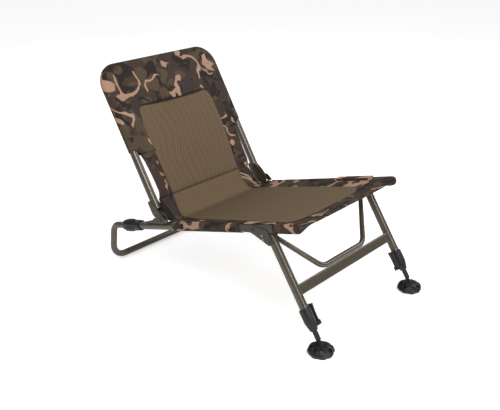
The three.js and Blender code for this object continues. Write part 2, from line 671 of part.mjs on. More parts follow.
function addBackChannel(frame, side) {
  const rear = BACK_TUBE_BEHIND + SHEET_OUT;
  const webBottom = PAWL_PIN_UP - PAWL_EYE_DIAMETER / 2;
  const front = BACK_TUBE_BEHIND - TUBE_RADIUS - CHANNEL_FRONT_LIP / 2;
  const ear = [
    [-CHANNEL_EYE_RADIUS + GAP, CHANNEL_FRONT_LIP / 2], [front, PAWL_PIN_UP],
    [BACK_TUBE_BEHIND, CHANNEL_TOP], [rear, CHANNEL_TOP], [rear, webBottom],
    [CHANNEL_EYE_RADIUS - GAP, -CHANNEL_FRONT_LIP / 2],
  ];
  const eye = 2 * CHANNEL_EYE_RADIUS;
  const body = join([
    plate(ear, -SHEET_OUT, -SHEET_IN), plate(ear, SHEET_IN, SHEET_OUT),
    rodAcross(eye, -SHEET_OUT, -SHEET_IN), rodAcross(eye, SHEET_IN, SHEET_OUT),
    box(-SHEET_OUT, SHEET_OUT, rear - SADDLE_SHEET, rear, webBottom, CHANNEL_TOP),
  ]);
  const pinHole = rodAcross(PAWL_PIN_DIAMETER + 2 * GAP, -TUBE_DIAMETER, TUBE_DIAMETER,
    PAWL_PIN_BEHIND, PAWL_PIN_UP, SMALL_SEGMENTS);
  const rivetHole = rodAcross(RIVET_HOLE, -TUBE_DIAMETER, TUBE_DIAMETER);
  addMesh(frame, `back_channel_${side.name}`, cut(body, [pinHole, rivetHole]), SHEET_PAINT);
  const pin = rodAcross(PAWL_PIN_DIAMETER, -SHEET_OUT, SHEET_OUT, PAWL_PIN_BEHIND, PAWL_PIN_UP,
    SMALL_SEGMENTS);
  addMesh(frame, `pawl_pin_${side.name}`, pin, STEEL);
}

// Pawl that hangs from its pin and rests against the sector's teeth
function addPawl(frame, side) {
  const half = PAWL_THICKNESS / 2;
  const reach = Math.hypot(PAWL_PIN_BEHIND, PAWL_PIN_UP);
  const tip = SECTOR_RADIUS + GAP;
  const outline = [
    [-PAWL_EYE_DIAMETER / 2, reach], [-PAWL_NOSE_WIDTH / 2, tip],
    [PAWL_NOSE_WIDTH / 2, tip], [PAWL_EYE_DIAMETER / 2, reach],
  ];
  const body = join([
    plate(outline, -half, half),
    rodAcross(PAWL_EYE_DIAMETER, -half, half, 0, reach, SMALL_SEGMENTS),
  ]);
  const hole = rodAcross(PAWL_PIN_DIAMETER + 2 * GAP, -TUBE_DIAMETER, TUBE_DIAMETER, 0, reach,
    SMALL_SEGMENTS);
  const pawl = cut(body, [hole]).rotateX(-Math.atan2(PAWL_PIN_BEHIND, PAWL_PIN_UP));
  addMesh(frame, `ratchet_pawl_${side.name}`, pawl, STEEL);
}

// Leg tube, cut flat where it butts against the rail, with its two hinge plates
const LEG_LENGTH = (LEG_PIVOT.z + LEG_AXIS_OFFSET * Math.sin(LEG_LEAN) - BALL_HEIGHT)
  / Math.cos(LEG_LEAN);
const HOUSING_TOP = LEG_LENGTH - HOUSING_ABOVE_BALL;
const CROSSBAR_DROP = HOUSING_TOP - CROSSBAR_ABOVE_HOUSING;
const STAND_LENGTH = CROSSBAR_DROP - STAND_TO_CROSSBAR;
const LEG_TUBE_END = HOUSING_TOP + HOUSING_SOCKET;

function addLegTube(frame, side) {
  const tube = pipeAlong(TUBE_DIAMETER, TUBE_BORE, 0, LEG_TUBE_END)
    .rotateX(-Math.PI / 2).translate(0, -LEG_AXIS_OFFSET, 0);
  const railSpace = box(-TUBE_DIAMETER, TUBE_DIAMETER, -RAIL_LENGTH, RAIL_LENGTH,
    -SHEET_IN, RAIL_LENGTH).rotateX(LEG_LEAN - RAIL_SLOPE);
  const hole = rodAcross(SMALL_RIVET_HOLE, -TUBE_DIAMETER, TUBE_DIAMETER,
    -LEG_AXIS_OFFSET, -LEG_RIVET_STEP, SMALL_SEGMENTS);
  addMesh(frame, `leg_tube_${side.name}`, cut(tube, [railSpace, hole]), TUBE_PAINT);
}

function addLegPlates(frame, side) {
  const outline = [
    [0, LEG_PLATE_EYE_RADIUS - GAP],
    [-LEG_AXIS_OFFSET - LEG_PLATE_UPPER_WIDTH / 2, -LEG_PLATE_SHOULDER + TUBE_RADIUS],
    [-LEG_AXIS_OFFSET - LEG_PLATE_SHOULDER_WIDTH / 2, -LEG_PLATE_SHOULDER],
    [-LEG_AXIS_OFFSET - LEG_PLATE_BOTTOM_WIDTH / 2, -LEG_PLATE_BOTTOM],
    [-LEG_AXIS_OFFSET + LEG_PLATE_BOTTOM_WIDTH / 2, -LEG_PLATE_BOTTOM],
    [LEG_PLATE_EYE_RADIUS - GAP, -LEG_PLATE_HEEL_DROP],
  ];
  const [pivot, spacer, through] = [
    STAND_PIN_PLACE, SPACER_PIN_PLACE, [LEG_AXIS_OFFSET, LEG_RIVET_STEP],
  ].map(([ahead, drop]) => [-ahead, -drop]);
  const holes = [pivot, spacer, through].map(([y, z]) => rodAcross(SMALL_RIVET_HOLE,
    -HALF_SPACING, HALF_SPACING, y, z, SMALL_SEGMENTS));
  holes.push(rodAcross(RIVET_HOLE, -HALF_SPACING, HALF_SPACING));
  [['outer', side.sign], ['inner', -side.sign]].forEach(([name, way]) => {
    const span = (from, to) => (way > 0 ? [from, to] : [-to, -from]);
    const [x0, x1] = span(PLATE_IN, PLATE_OUT);
    const [b0, b1] = span(TUBE_RADIUS + GAP, PLATE_IN + BOSS_OVERLAP);
    const boss = rodAcross(2 * SMALL_RIVET_HEAD_DIAMETER, b0, b1, ...through);
    const eye = rodAcross(2 * LEG_PLATE_EYE_RADIUS, x0, x1);
    const body = join([plate(outline, x0, x1), eye, boss]);
    addMesh(frame, `leg_plate_${name}_${side.name}`, cut(body, holes), SHEET_PAINT);
  });
  const rivet = (place, from, to, flushEnd) => rivetAcross(SMALL_RIVET_DIAMETER,
    SMALL_RIVET_HEAD_DIAMETER, SMALL_RIVET_HEAD_HEIGHT, from, to, ...place, flushEnd);
  const plain = PLATE_OUT + GAP;
  const withBlade = PLATE_OUT + 2 * GAP + STAND_BLADE_THICKNESS;
  const inner = side.sign > 0 ? -withBlade : -plain;
  const outer = side.sign > 0 ? plain : withBlade;
  addMesh(frame, `stand_rivet_${side.name}`, rivet(pivot, inner, outer), STEEL);
  const flushed = side.sign > 0 ? [-PLATE_OUT, plain] : [-plain, PLATE_OUT];
  const spacerPin = rivet(spacer, ...flushed, -side.sign);
  addMesh(frame, `plate_spacer_pin_${side.name}`, spacerPin, STEEL);
  addMesh(frame, `leg_tube_rivet_${side.name}`, rivet(through, -plain, plain), STEEL);
}

function addCrossbar() {
  const half = CROSSBAR_THICKNESS / 2;
  const outline = [
    [-LEG_AXIS_OFFSET - half, -CROSSBAR_DROP - CROSSBAR_WIDTH / 2],
    [-LEG_AXIS_OFFSET + half, -CROSSBAR_DROP - CROSSBAR_WIDTH / 2],
    [-LEG_AXIS_OFFSET + half, -CROSSBAR_DROP + CROSSBAR_WIDTH / 2],
    [-LEG_AXIS_OFFSET - half, -CROSSBAR_DROP + CROSSBAR_WIDTH / 2],
  ];
  const legs = SIDES.map((side) => rodUp(2 * SHEET_IN, -LEG_TUBE_END, 0)
    .translate(side.sign * HALF_SPACING, -LEG_AXIS_OFFSET, 0));
  const bar = plate(outline, -HALF_SPACING, HALF_SPACING, CROSSBAR_ROUND);
  addMesh(legFrame, 'leg_crossbar', cut(bar, legs), TUBE_PAINT);
}

// Plastic housing on the leg's lower end, with cheeks for the lever on its inner side
function addLock(frame, side) {
  const inward = -side.sign;
  const top = -HOUSING_TOP;
  const bottom = top - HOUSING_LENGTH;
  const pinX = inward * (HOUSING_DIAMETER / 2 + LEVER_STANDOFF + LEVER_EYE_DIAMETER / 2);
  const pinZ = top - LEVER_PIVOT_DROP;
  const radius = HOUSING_DIAMETER / 2;
  const shell = turned([
    [0, bottom], [HOUSING_BOTTOM_DIAMETER / 2, bottom],
    [radius, bottom + HOUSING_TAPER_LENGTH], [radius, top - HOUSING_RIB_DEPTH],
    [radius - HOUSING_RIB_DEPTH, top], [0, top],
  ]).rotateX(Math.PI / 2);
  const leverSpace = LEVER_WIDTH / 2 + GAP;
  const cheekReach = pinX + inward * LEVER_EYE_DIAMETER / 2;
  const cheeks = [-1, 1].map((way) => box(
    Math.min(0, cheekReach), Math.max(0, cheekReach),
    Math.min(way * leverSpace, way * (leverSpace + LEVER_CHEEK)),
    Math.max(way * leverSpace, way * (leverSpace + LEVER_CHEEK)),
    pinZ - LEVER_EYE_DIAMETER / 2, pinZ + LEVER_EYE_DIAMETER,
  ));
  const grooves = [];
  for (let i = 0; i < HOUSING_RIBS; i += 1) {
    const angle = Math.PI * (2 * i + 1) / HOUSING_RIBS;
    if (Math.cos(angle) * inward < Math.SQRT1_2) {
      grooves.push(rodUp(2 * HOUSING_RIB_DEPTH, bottom + HOUSING_TAPER_LENGTH, top + OVERRUN, GROOVE_SEGMENTS)
        .translate(radius * Math.cos(angle), radius * Math.sin(angle), 0));
    }
  }
  const bores = [
    rodUp(2 * SHEET_IN, -LEG_TUBE_END - GAP, top + OVERRUN),
    rodUp(LOWER_LEG_DIAMETER + 2 * GAP, bottom - OVERRUN, top),
    rodAcross(LEVER_PIN_DIAMETER + 2 * GAP, -radius, radius, 0, 0, SMALL_SEGMENTS)
      .rotateZ(Math.PI / 2).translate(pinX, 0, pinZ),
  ];
  const housing = cut(join([shell, ...cheeks]), [...bores, ...grooves])
    .translate(0, -LEG_AXIS_OFFSET, 0);
  addMesh(frame, `lock_housing_${side.name}`, housing, BLACK_PLASTIC);
  const pinHalf = leverSpace + LEVER_CHEEK;
  const pin = rodAcross(LEVER_PIN_DIAMETER, -pinHalf, pinHalf, 0, 0, SMALL_SEGMENTS)
    .rotateZ(Math.PI / 2).translate(pinX, -LEG_AXIS_OFFSET, pinZ);
  addMesh(frame, `lever_pin_${side.name}`, pin, STEEL);
  addLever(frame, side, inward, pinX, pinZ);
}

function addLever(frame, side, inward, pinX, pinZ) {
  const half = LEVER_THICKNESS / 2;
  const shape = new Shape();
  shape.moveTo(-half, 0);
  shape.lineTo(-half, LEVER_LENGTH * LEVER_BEND_SHARE);
  shape.quadraticCurveTo(-half, LEVER_LENGTH, LEVER_TIP_FLARE - half, LEVER_LENGTH);
  shape.lineTo(LEVER_TIP_FLARE + half, LEVER_LENGTH);
  shape.quadraticCurveTo(half, LEVER_LENGTH * LEVER_BEND_SHARE, half, LEVER_LENGTH * LEVER_HOLLOW_SHARE);
  shape.lineTo(half, 0);
  shape.closePath();
  const arm = new ExtrudeGeometry(shape, {
    depth: LEVER_WIDTH, bevelEnabled: false, curveSegments: CORNER_SEGMENTS,
  }).rotateX(Math.PI / 2).translate(0, LEVER_WIDTH / 2, 0);
  const eye = rod(LEVER_EYE_DIAMETER, LEVER_WIDTH, SMALL_SEGMENTS);
  const hole = rod(LEVER_PIN_DIAMETER + 2 * GAP, LEVER_WIDTH + OVERRUN, SMALL_SEGMENTS);
  const lever = cut(join([arm, eye]), [hole]);
  if (inward < 0) lever.rotateZ(Math.PI);
  lever.translate(pinX, -LEG_AXIS_OFFSET, pinZ);
  addMesh(frame, `lock_lever_${side.name}`, lever, BLACK_PLASTIC);
}

// Sliding lower leg with a guide bush at its top and a thin neck at the ball
function addLowerLeg(frame, side) {
  const radius = LOWER_LEG_DIAMETER / 2;
  const ballTop = -LEG_LENGTH + BALL_DIAMETER / 2 + GAP;
  const top = -HOUSING_TOP + LOWER_LEG_INSERTION;
  const leg = turned([
    [0, ballTop], [BALL_NECK_DIAMETER / 2, ballTop],
    [BALL_NECK_DIAMETER / 2, ballTop + BALL_NECK_LENGTH / 2],
    [radius, ballTop + BALL_NECK_LENGTH], [radius, top], [0, top],
  ]).rotateX(Math.PI / 2).translate(0, -LEG_AXIS_OFFSET, 0);
  addMesh(frame, `lower_leg_${side.name}`, leg, BLACK_PLASTIC);
  const bush = pipeAlong(TUBE_BORE - 2 * GAP, LOWER_LEG_DIAMETER + 2 * GAP, -top, LEG_BUSH_LENGTH - top)
    .rotateX(-Math.PI / 2).translate(0, -LEG_AXIS_OFFSET, 0);
  addMesh(frame, `lower_leg_bush_${side.name}`, bush, BLACK_PLASTIC);
}

// Scalloped mud foot with a socket for the ball, level on the ground
function addFoot(side) {
  const ball = new Vector3(side.sign * HALF_SPACING, -LEG_AXIS_OFFSET, -LEG_LENGTH)
    .applyMatrix4(new Matrix4().makeRotationX(-LEG_LEAN)).add(LEG_PIVOT);
  const frame = new Group();
  frame.position.set(ball.x, ball.y, 0);
  chair.add(frame);
  const sphere = new SphereGeometry(BALL_DIAMETER / 2, SMALL_SEGMENTS, SMALL_SEGMENTS / 2);
  addMesh(frame, `foot_ball_${side.name}`,
    toGeometry(toManifold(sphere)).translate(0, 0, BALL_HEIGHT), BLACK_PLASTIC);
  const radius = FOOT_DIAMETER / 2;
  const lip = BALL_HEIGHT + FOOT_LIP_RISE;
  const rings = [
    [radius - FOOT_BASE_INSET, 0], [radius, FOOT_RIM_HEIGHT],
    [radius - FOOT_BASE_INSET, FOOT_RIM_HEIGHT * 2], [radius * FOOT_SHOULDER_SHARE, lip - FOOT_LIP_RISE],
    [FOOT_HUB_DIAMETER / 2, lip],
  ];
  const segments = FOOT_LOBES * FOOT_LOBE_STEPS;
  const positions = [0, 0, 0];
  const index = [];
  rings.forEach(([ring, height], level) => {
    for (let i = 0; i < segments; i += 1) {
      const angle = 2 * Math.PI * i / segments;
      const lobe = 1 - Math.abs(Math.cos(angle * FOOT_LOBES / 2));
      const share = level < rings.length - 1 ? 1 : 0;
      const r = ring - FOOT_LOBE_DEPTH * lobe * share;
      positions.push(r * Math.cos(angle), r * Math.sin(angle), height);
    }
  });
  positions.push(0, 0, lip);
  const topCentre = positions.length / 3 - 1;
  for (let i = 0; i < segments; i += 1) {
    const next = (i + 1) % segments;
    index.push(0, 1 + next, 1 + i);
    for (let level = 0; level < rings.length - 1; level += 1) {
      const a = 1 + level * segments;
      const b = a + segments;
      index.push(a + i, a + next, b + next, a + i, b + next, b + i);
    }
    const last = 1 + (rings.length - 1) * segments;
    index.push(topCentre, last + i, last + next);
  }
  const dome = new BufferGeometry();
  dome.setAttribute('position', new BufferAttribute(new Float32Array(positions), 3));
  dome.setIndex(index);
  const pockets = [];
  for (let i = 0; i < FOOT_LOBES; i += 1) {
    const pocket = rodUp(FOOT_POCKET_DIAMETER, -FOOT_POCKET_DEPTH, FOOT_DIAMETER, SMALL_SEGMENTS)
      .rotateY(FOOT_POCKET_TILT).translate(FOOT_POCKET_CIRCLE / 2, 0, FOOT_RIM_HEIGHT * 2)
      .rotateZ(2 * Math.PI * i / FOOT_LOBES);
    pockets.push(pocket);
  }
  const socket = new SphereGeometry(BALL_DIAMETER / 2 + SOCKET_CLEARANCE, ROUND_SEGMENTS, SMALL_SEGMENTS)
    .translate(0, 0, BALL_HEIGHT);
  addMesh(frame, `mud_foot_${side.name}`, cut(dome, [socket, ...pockets]), FOOT_RUBBER);
}

// Low stand: a bent tube with flattened ends on the legs' inner plates
function addStand() {
  const bladeX = HALF_SPACING - PLATE_OUT - GAP - STAND_BLADE_THICKNESS / 2;
  const bottomX = HALF_SPACING - STAND_BOTTOM_INSET;
  const start = STAND_BLADE_LENGTH - STAND_BLADE_WIDTH / 2;
  const corners = [
    new Vector3(-bladeX + STAND_BLADE_THICKNESS, 0, -start), new Vector3(-bottomX, 0, -STAND_LENGTH),
    new Vector3(bottomX, 0, -STAND_LENGTH), new Vector3(bladeX - STAND_BLADE_THICKNESS, 0, -start),
  ];
  const tube = bentTube(STAND_TUBE_DIAMETER, 0, corners, STAND_BEND_RADIUS, SMALL_SEGMENTS);
  const half = STAND_BLADE_THICKNESS / 2;
  const blades = SIDES.flatMap((side) => {
    const x = side.sign * bladeX;
    return [
      box(x - half, x + half, -STAND_BLADE_WIDTH / 2, STAND_BLADE_WIDTH / 2, -STAND_BLADE_LENGTH, 0),
      rodAcross(STAND_BLADE_WIDTH, x - half, x + half),
    ];
  });
  const outside = SIDES.map((side) => {
    const edge = side.sign * (bladeX + half);
    const far = side.sign * RAIL_SPACING;
    return box(Math.min(edge, far), Math.max(edge, far), -TUBE_DIAMETER, TUBE_DIAMETER,
      -STAND_LENGTH, TUBE_DIAMETER);
  });
  const hole = rodAcross(SMALL_RIVET_HOLE, -RAIL_SPACING, RAIL_SPACING, 0, 0, SMALL_SEGMENTS);
  addMesh(standFrame, 'stand_tube', cut(join([tube, ...blades]), [...outside, hole]), TUBE_PAINT);
}

// Seat cover: a padded panel that sags between the rails, with sleeves round the rails
function seatCentre(across, share) {
  const settled = Math.min(1, share / SEAT_HEM_SHARE);
  const middle = MathUtils.lerp(-SEAT_SAG, SEAT_REAR_LIFT, share) * settled;
  const edge = MathUtils.lerp(SEAT_HEM_LIFT, SEAT_EDGE_LIFT, settled);
  return middle + (edge - middle) * Math.abs(across) ** SEAT_EDGE_POWER;
}

function addSeatCover() {
  const surface = (way) => (i, share) => {
    const across = 2 * i - 1;
    const pad = SEAT_EDGE_PAD + (SEAT_PAD - SEAT_EDGE_PAD) * (1 - across ** PANEL_EDGE_POWER);
    const along = MathUtils.lerp(SEAT_FRONT, SEAT_REAR, share);
    return [across * SEAT_EDGE_HALF_WIDTH, along, seatCentre(across, share) + way * pad / 2];
  };
  const sling = panel(PANEL_COLUMNS, PANEL_ROWS, surface(1), surface(-1));
  const railX = (geometry, side) => geometry.translate(side.sign * HALF_SPACING, 0, 0);
  const tip = -GAP - PLUG_HEAD - GAP;
  const sleeves = SIDES.flatMap((side) => [
    railX(pipeAlong(2 * SLEEVE_OUT, 0, SLEEVE_REAR_START, SLEEVE_REAR_END), side),
    railX(pipeAlong(2 * SLEEVE_OUT, 0, tip - SLEEVE_FABRIC, SLEEVE_FRONT_END), side),
  ]);
  const clearances = SIDES.flatMap((side) => {
    const strip = (inner, from, to) => box(
      Math.min(side.sign * inner, side.sign * RAIL_SPACING),
      Math.max(side.sign * inner, side.sign * RAIL_SPACING),
      from, to, -TUBE_DIAMETER, TUBE_DIAMETER * 2,
    );
    return [
      railX(pipeAlong(2 * SLEEVE_IN, 0, tip, RAIL_LENGTH), side),
      strip(SEAT_SADDLE_HALF_WIDTH, SLEEVE_FRONT_END, SLEEVE_REAR_START),
      strip(SEAT_REAR_HALF_WIDTH, SLEEVE_REAR_END, SEAT_REAR + OVERRUN),
    ];
  });
  addMesh(railFrame, 'seat_cover', cut(join([sling, ...sleeves]), clearances), MESH_FABRIC);
}

// Back cover: a pocket over the hoop, and below it a free panel with drawn-in sides
function addBackCover() {
  const pocketTop = BACK_TUBE_TOP;
  const pocketSide = (way) => (i, share) => {
    const across = 2 * i - 1;
    const edge = Math.abs(across) ** PANEL_EDGE_POWER;
    const front = MathUtils.lerp(BACK_FRONT_AT_POCKET, BACK_TUBE_BEHIND - SLEEVE_OUT, edge);
    const rear = MathUtils.lerp(BACK_FRONT_AT_POCKET + POCKET_PAD, BACK_TUBE_BEHIND + SLEEVE_OUT, edge);
    const up = MathUtils.lerp(POCKET_START, pocketTop, share);
    return [across * HALF_SPACING, way > 0 ? front : rear, up];
  };
  const waist = (share) => {
    const side = BACK_FREE_HALF_WIDTH - BACK_WAIST_HALF_WIDTH;
    return BACK_WAIST_HALF_WIDTH + side * (2 * share - 1) ** 2;
  };
  const freeSide = (way) => (i, share) => {
    const across = 2 * i - 1;
    const up = MathUtils.lerp(BACK_COVER_BOTTOM, POCKET_START + OVERRUN, share);
    const climb = MathUtils.clamp((up - BACK_SEAM_UP) / (POCKET_START - BACK_SEAM_UP), 0, 1);
    const below = MathUtils.clamp((BACK_SEAM_UP - up) / BACK_SEAM_UP, 0, 1);
    const front = MathUtils.lerp(BACK_FRONT_AT_SEAM, BACK_FRONT_AT_POCKET, climb)
      + (BACK_FRONT_AT_BOTTOM - BACK_FRONT_AT_SEAM) * below;
    const pad = BACK_EDGE_PAD + (BACK_PAD - BACK_EDGE_PAD) * (1 - across ** PANEL_EDGE_POWER);
    const drawn = MathUtils.clamp((up - BACK_COVER_BOTTOM) / (BACK_SEAM_UP - BACK_COVER_BOTTOM), 0, 1);
    const edge = drawn * across ** PANEL_EDGE_POWER;
    const middle = MathUtils.lerp(front + BACK_PAD / 2, BACK_EDGE_BEHIND, edge);
    return [across * waist(share), middle - way * pad / 2, up];
  };
  const corners = backCorners();
  const sleeveStart = (sign) => new Vector3(sign * HALF_SPACING, BACK_TUBE_BEHIND, POCKET_START);
  const sleeveCorners = [sleeveStart(-1), corners[1], corners[2], sleeveStart(1)];
  const sleeve = bentTube(2 * SLEEVE_OUT, 0, sleeveCorners, BACK_CORNER_RADIUS);
  const hoop = bentTube(2 * SLEEVE_IN, 0, corners, BACK_CORNER_RADIUS);
  const cornerOf = (side) => {
    const inner = (HALF_SPACING - BACK_CORNER_RADIUS) * side.sign;
    const outer = RAIL_SPACING * side.sign;
    const block = box(Math.min(inner, outer), Math.max(inner, outer), -TUBE_DIAMETER, 2 * TUBE_DIAMETER,
      pocketTop - BACK_CORNER_RADIUS, pocketTop + OVERRUN);
    const round = rod(2 * BACK_CORNER_RADIUS, RAIL_SPACING)
      .translate(inner, 0, pocketTop - BACK_CORNER_RADIUS);
    return cut(block, [round]);
  };
  const pocketPanel = cut(
    panel(PANEL_COLUMNS, PANEL_ROWS / 2, pocketSide(1), pocketSide(-1)), SIDES.map(cornerOf),
  );
  const free = panel(PANEL_COLUMNS, PANEL_ROWS / 2, freeSide(1), freeSide(-1));
  const cover = cut(join([pocketPanel, free, sleeve]), [hoop]);
  addMesh(backFrame, 'back_cover', cover, MESH_FABRIC);
}

// Strip of the same fabric that bends between the seat and the back
function addCreaseStrip() {
  const from = railPlace(0, SEAT_REAR + CREASE_CLEARANCE, SEAT_REAR_LIFT);
  const bend = railPlace(0, HINGE_ALONG + CREASE_PAD, SEAT_REAR_LIFT);
  const to = new Vector3(0, BACK_FRONT_AT_BOTTOM + BACK_PAD / 2, BACK_COVER_BOTTOM - CREASE_CLEARANCE)
    .applyMatrix4(new Matrix4().makeRotationX(BACK_TURN)).add(HINGE_PIVOT);
  const surface = (way) => (i, share) => {
    const rest = 1 - share;
    const middle = from.clone().multiplyScalar(rest * rest)
      .add(bend.clone().multiplyScalar(2 * rest * share)).add(to.clone().multiplyScalar(share * share));
    const slope = bend.clone().sub(from).multiplyScalar(rest)
      .add(to.clone().sub(bend).multiplyScalar(share)).normalize();
    const half = way * CREASE_PAD / 2;
    return [(2 * i - 1) * CREASE_HALF_WIDTH, middle.y - slope.z * half, middle.z + slope.y * half];
  };
  const strip = panel(CREASE_COLUMNS, CREASE_STEPS, surface(1), surface(-1));
  addMesh(chair, 'crease_strip', strip, MESH_FABRIC);
}

SIDES.forEach((side) => {
  const onRail = sideFrame(railFrame, side.sign);
  addRail(onRail, side);
  addHingeBracket(onRail, side);
  addSector(onRail, side);
  addLegSaddle(onRail, side);
  addPivotRivets(onRail, side);
  addCollar(onRail, side);
  const onBack = sideFrame(backFrame, side.sign);
  addBackChannel(onBack, side);
  addPawl(onBack, side);
  const onLeg = sideFrame(legFrame, side.sign);
  addLegTube(onLeg, side);
  addLegPlates(onLeg, side);
  addLock(onLeg, side);
  addLowerLeg(onLeg, side);
  addFoot(side);
});
addBackHoop();
addRearBar();
addCrossbar();
addStand();
addSeatCover();
addBackCover();
addCreaseStrip();

// The origin is the middle of the box on the ground
chair.updateMatrixWorld(true);
const bounds = new Box3().setFromObject(chair, true);
chair.position.y = -(bounds.min.y + bounds.max.y) / 2;
const object = new Group();
object.add(chair);

export default object;
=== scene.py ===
import math

import bmesh
import bpy
from mathutils import Matrix, Vector, noise


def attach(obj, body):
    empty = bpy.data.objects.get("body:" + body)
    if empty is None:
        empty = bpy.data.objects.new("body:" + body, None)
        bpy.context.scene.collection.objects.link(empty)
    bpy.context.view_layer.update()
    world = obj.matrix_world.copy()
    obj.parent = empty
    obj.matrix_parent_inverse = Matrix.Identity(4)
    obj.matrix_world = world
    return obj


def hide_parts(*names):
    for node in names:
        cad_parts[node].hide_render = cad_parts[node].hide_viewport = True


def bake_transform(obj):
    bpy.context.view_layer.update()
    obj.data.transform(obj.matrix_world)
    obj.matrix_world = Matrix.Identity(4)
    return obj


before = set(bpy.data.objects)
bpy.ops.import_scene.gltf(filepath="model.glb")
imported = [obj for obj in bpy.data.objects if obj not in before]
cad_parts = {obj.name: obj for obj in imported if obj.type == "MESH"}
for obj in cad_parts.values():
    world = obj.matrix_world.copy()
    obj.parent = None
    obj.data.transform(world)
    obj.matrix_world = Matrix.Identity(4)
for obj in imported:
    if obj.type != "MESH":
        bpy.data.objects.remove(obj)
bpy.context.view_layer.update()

# Sizes of the frame that the covers follow, in metres and radians
CENTRE_SHIFT = -0.333557
RAIL_SLOPE = math.radians(15.24)
RAIL_TIP_HEIGHT = 0.342
RAIL_X = 0.235
SLEEVE_RADIUS = 0.0142
HINGE_Y, HINGE_Z = 0.181088, 0.226145
BACK_TURN = math.radians(59.3 - 90)
HOOP_BEHIND = 0.012
HOOP_TOP = 0.4925
HOOP_CORNER = 0.056
HOOP_FLAT_X, HOOP_FLAT_UP = RAIL_X - HOOP_CORNER, HOOP_TOP - HOOP_CORNER
HOOP_OUTER = HOOP_CORNER + SLEEVE_RADIUS
POCKET_START = 0.226
LEG_PIVOT_Y, LEG_PIVOT_Z = -0.189796, 0.302833
LEG_LEAN = math.radians(-33.2)
LEG_AXIS = -0.0386

# Covers, measured along the rails and up the back
SEAT_FRONT, SEAT_REAR = 0.004, 0.508
MESH_FRONT, MESH_CORNER, MESH_REAR = 0.067, 0.046, 0.497
SADDLE_FROM, SADDLE_TO = 0.078, 0.203
SLEEVE_REAR_END = 0.479
SLING_EDGE, SLING_REAR_EDGE, SLING_THICKNESS = 0.2235, 0.212, 0.0034
GUSSET_FROM, GUSSET_DEPTH = 0.184, 0.0127
CREASE_FROM, CREASE_BEND, CREASE_RISE = 0.496, 0.532, 0.003
BACK_BOTTOM = 0.022
SEAM_UP = 0.063
MESH_TOP, HEADREST_TOP = 0.357, 0.482
COVER_DEPTH = 0.0055
POCKET_WALL, POCKET_DROP = 0.0012, 0.018
PIPING = 0.0011

# Hard pieces that are drawn round here
RIVET_REACH, LEG_RIVET_DROP = 0.0169, 0.050
REAR_BAR_RADIUS, REAR_BAR_INSERT, REAR_BAR_CORNER = 0.0105, 0.475, 0.787
REAR_BAR_LEAN = math.radians(6.8)
REAR_BAR_BENDS = (0.038, 0.050, 0.050, 0.038)
STAND_PIN = (-0.024, -0.0239)
STAND_LEAN = LEG_LEAN - math.radians(6.9)
STAND_RADIUS, STAND_BEND, STAND_EYE = 0.008, 0.045, 0.0075
STAND_BLADE_X, STAND_BOTTOM_X = 0.2141, 0.1025
STAND_LENGTH, STAND_SHOULDER = 0.1538, 0.0145


def on_rail(x, along, up):
    """A place measured along the rails from their front tips and square above their axes."""
    c, s = math.cos(RAIL_SLOPE), math.sin(RAIL_SLOPE)
    return Vector((x, along * c + up * s + CENTRE_SHIFT, RAIL_TIP_HEIGHT - along * s + up * c))


def turned_place(x, y, z, base_y, base_z, turn):
    c, s = math.cos(turn), math.sin(turn)
    return Vector((x, base_y + y * c - z * s, base_z + y * s + z * c))


def on_back(x, up, behind):
    """A place measured up the backrest from its pivot and behind the pivot."""
    return turned_place(x, behind, up, HINGE_Y, HINGE_Z, BACK_TURN)


REARWARD = on_back(0, 0, 1) - on_back(0, 0, 0)
UPWARD = on_back(0, 1, 0) - on_back(0, 0, 0)


def on_leg(x, y, z):
    return turned_place(x, y, z, LEG_PIVOT_Y, LEG_PIVOT_Z, LEG_LEAN)


def lerp(a, b, share):
    return a + (b - a) * share


def clamp(value):
    return max(0.0, min(1.0, value))


def smooth(value, low, high):
    share = clamp((value - low) / (high - low))
    return share * share * (3 - 2 * share)


# Node trees
def fill(tree, node, values):
    for key, value in values.items():
        if isinstance(value, bpy.types.NodeSocket):
            tree.links.new(value, node.inputs[key])
        else:
            node.inputs[key].default_value = value


def put(tree, kind, values=None, **settings):
    """Adds a node, sets its properties, and fills or links its inputs."""
    made = tree.nodes.new(kind)
    for key, value in settings.items():
        setattr(made, key, value)
    fill(tree, made, values or {})
    return made


def calc(tree, operation, *terms, clamped=False):
    values = dict(enumerate(terms))
    return put(tree, "ShaderNodeMath", values, operation=operation, use_clamp=clamped).outputs[0]


def times(tree, a, b, clamped=False):
    return calc(tree, "MULTIPLY", a, b, clamped=clamped)


def mix_colour(tree, share, a, b, blend="MIX"):
    values = {0: share, 6: a, 7: b}
    return put(tree, "ShaderNodeMix", values, data_type="RGBA", blend_type=blend).outputs[2]


def linear(red, green, blue):
    """A colour given as 0 to 255 screen values."""
    def one(value):
        value /= 255
        return value / 12.92 if value <= 0.04045 else ((value + 0.055) / 1.055) ** 2.4
    return (one(red), one(green), one(blue), 1.0)


def new_group(name, kind, inputs, outputs):
    tree = bpy.data.node_groups.new(name, kind)
    for title, socket, default in inputs:
        made = tree.interface.new_socket(title, in_out="INPUT", socket_type=f"NodeSocket{socket}")
        if default is not None:
            made.default_value = default
    for title, socket in outputs:
        tree.interface.new_socket(title, in_out="OUTPUT", socket_type=f"NodeSocket{socket}")
    return tree, tree.nodes.new("NodeGroupInput").outputs, tree.nodes.new("NodeGroupOutput")


def shader_group(name, inputs, outputs):
    return new_group(name, "ShaderNodeTree", inputs, outputs)


def place_of(tree):
    return put(tree, "ShaderNodeTexCoord").outputs["Object"]


def noise_at(tree, vector, scale, detail=2.0, rough=0.5, distortion=0.0):
    values = {"Vector": vector, "Scale": scale, "Detail": detail, "Roughness": rough,
              "Distortion": distortion}
    return put(tree, "ShaderNodeTexNoise", values).outputs["Fac"]


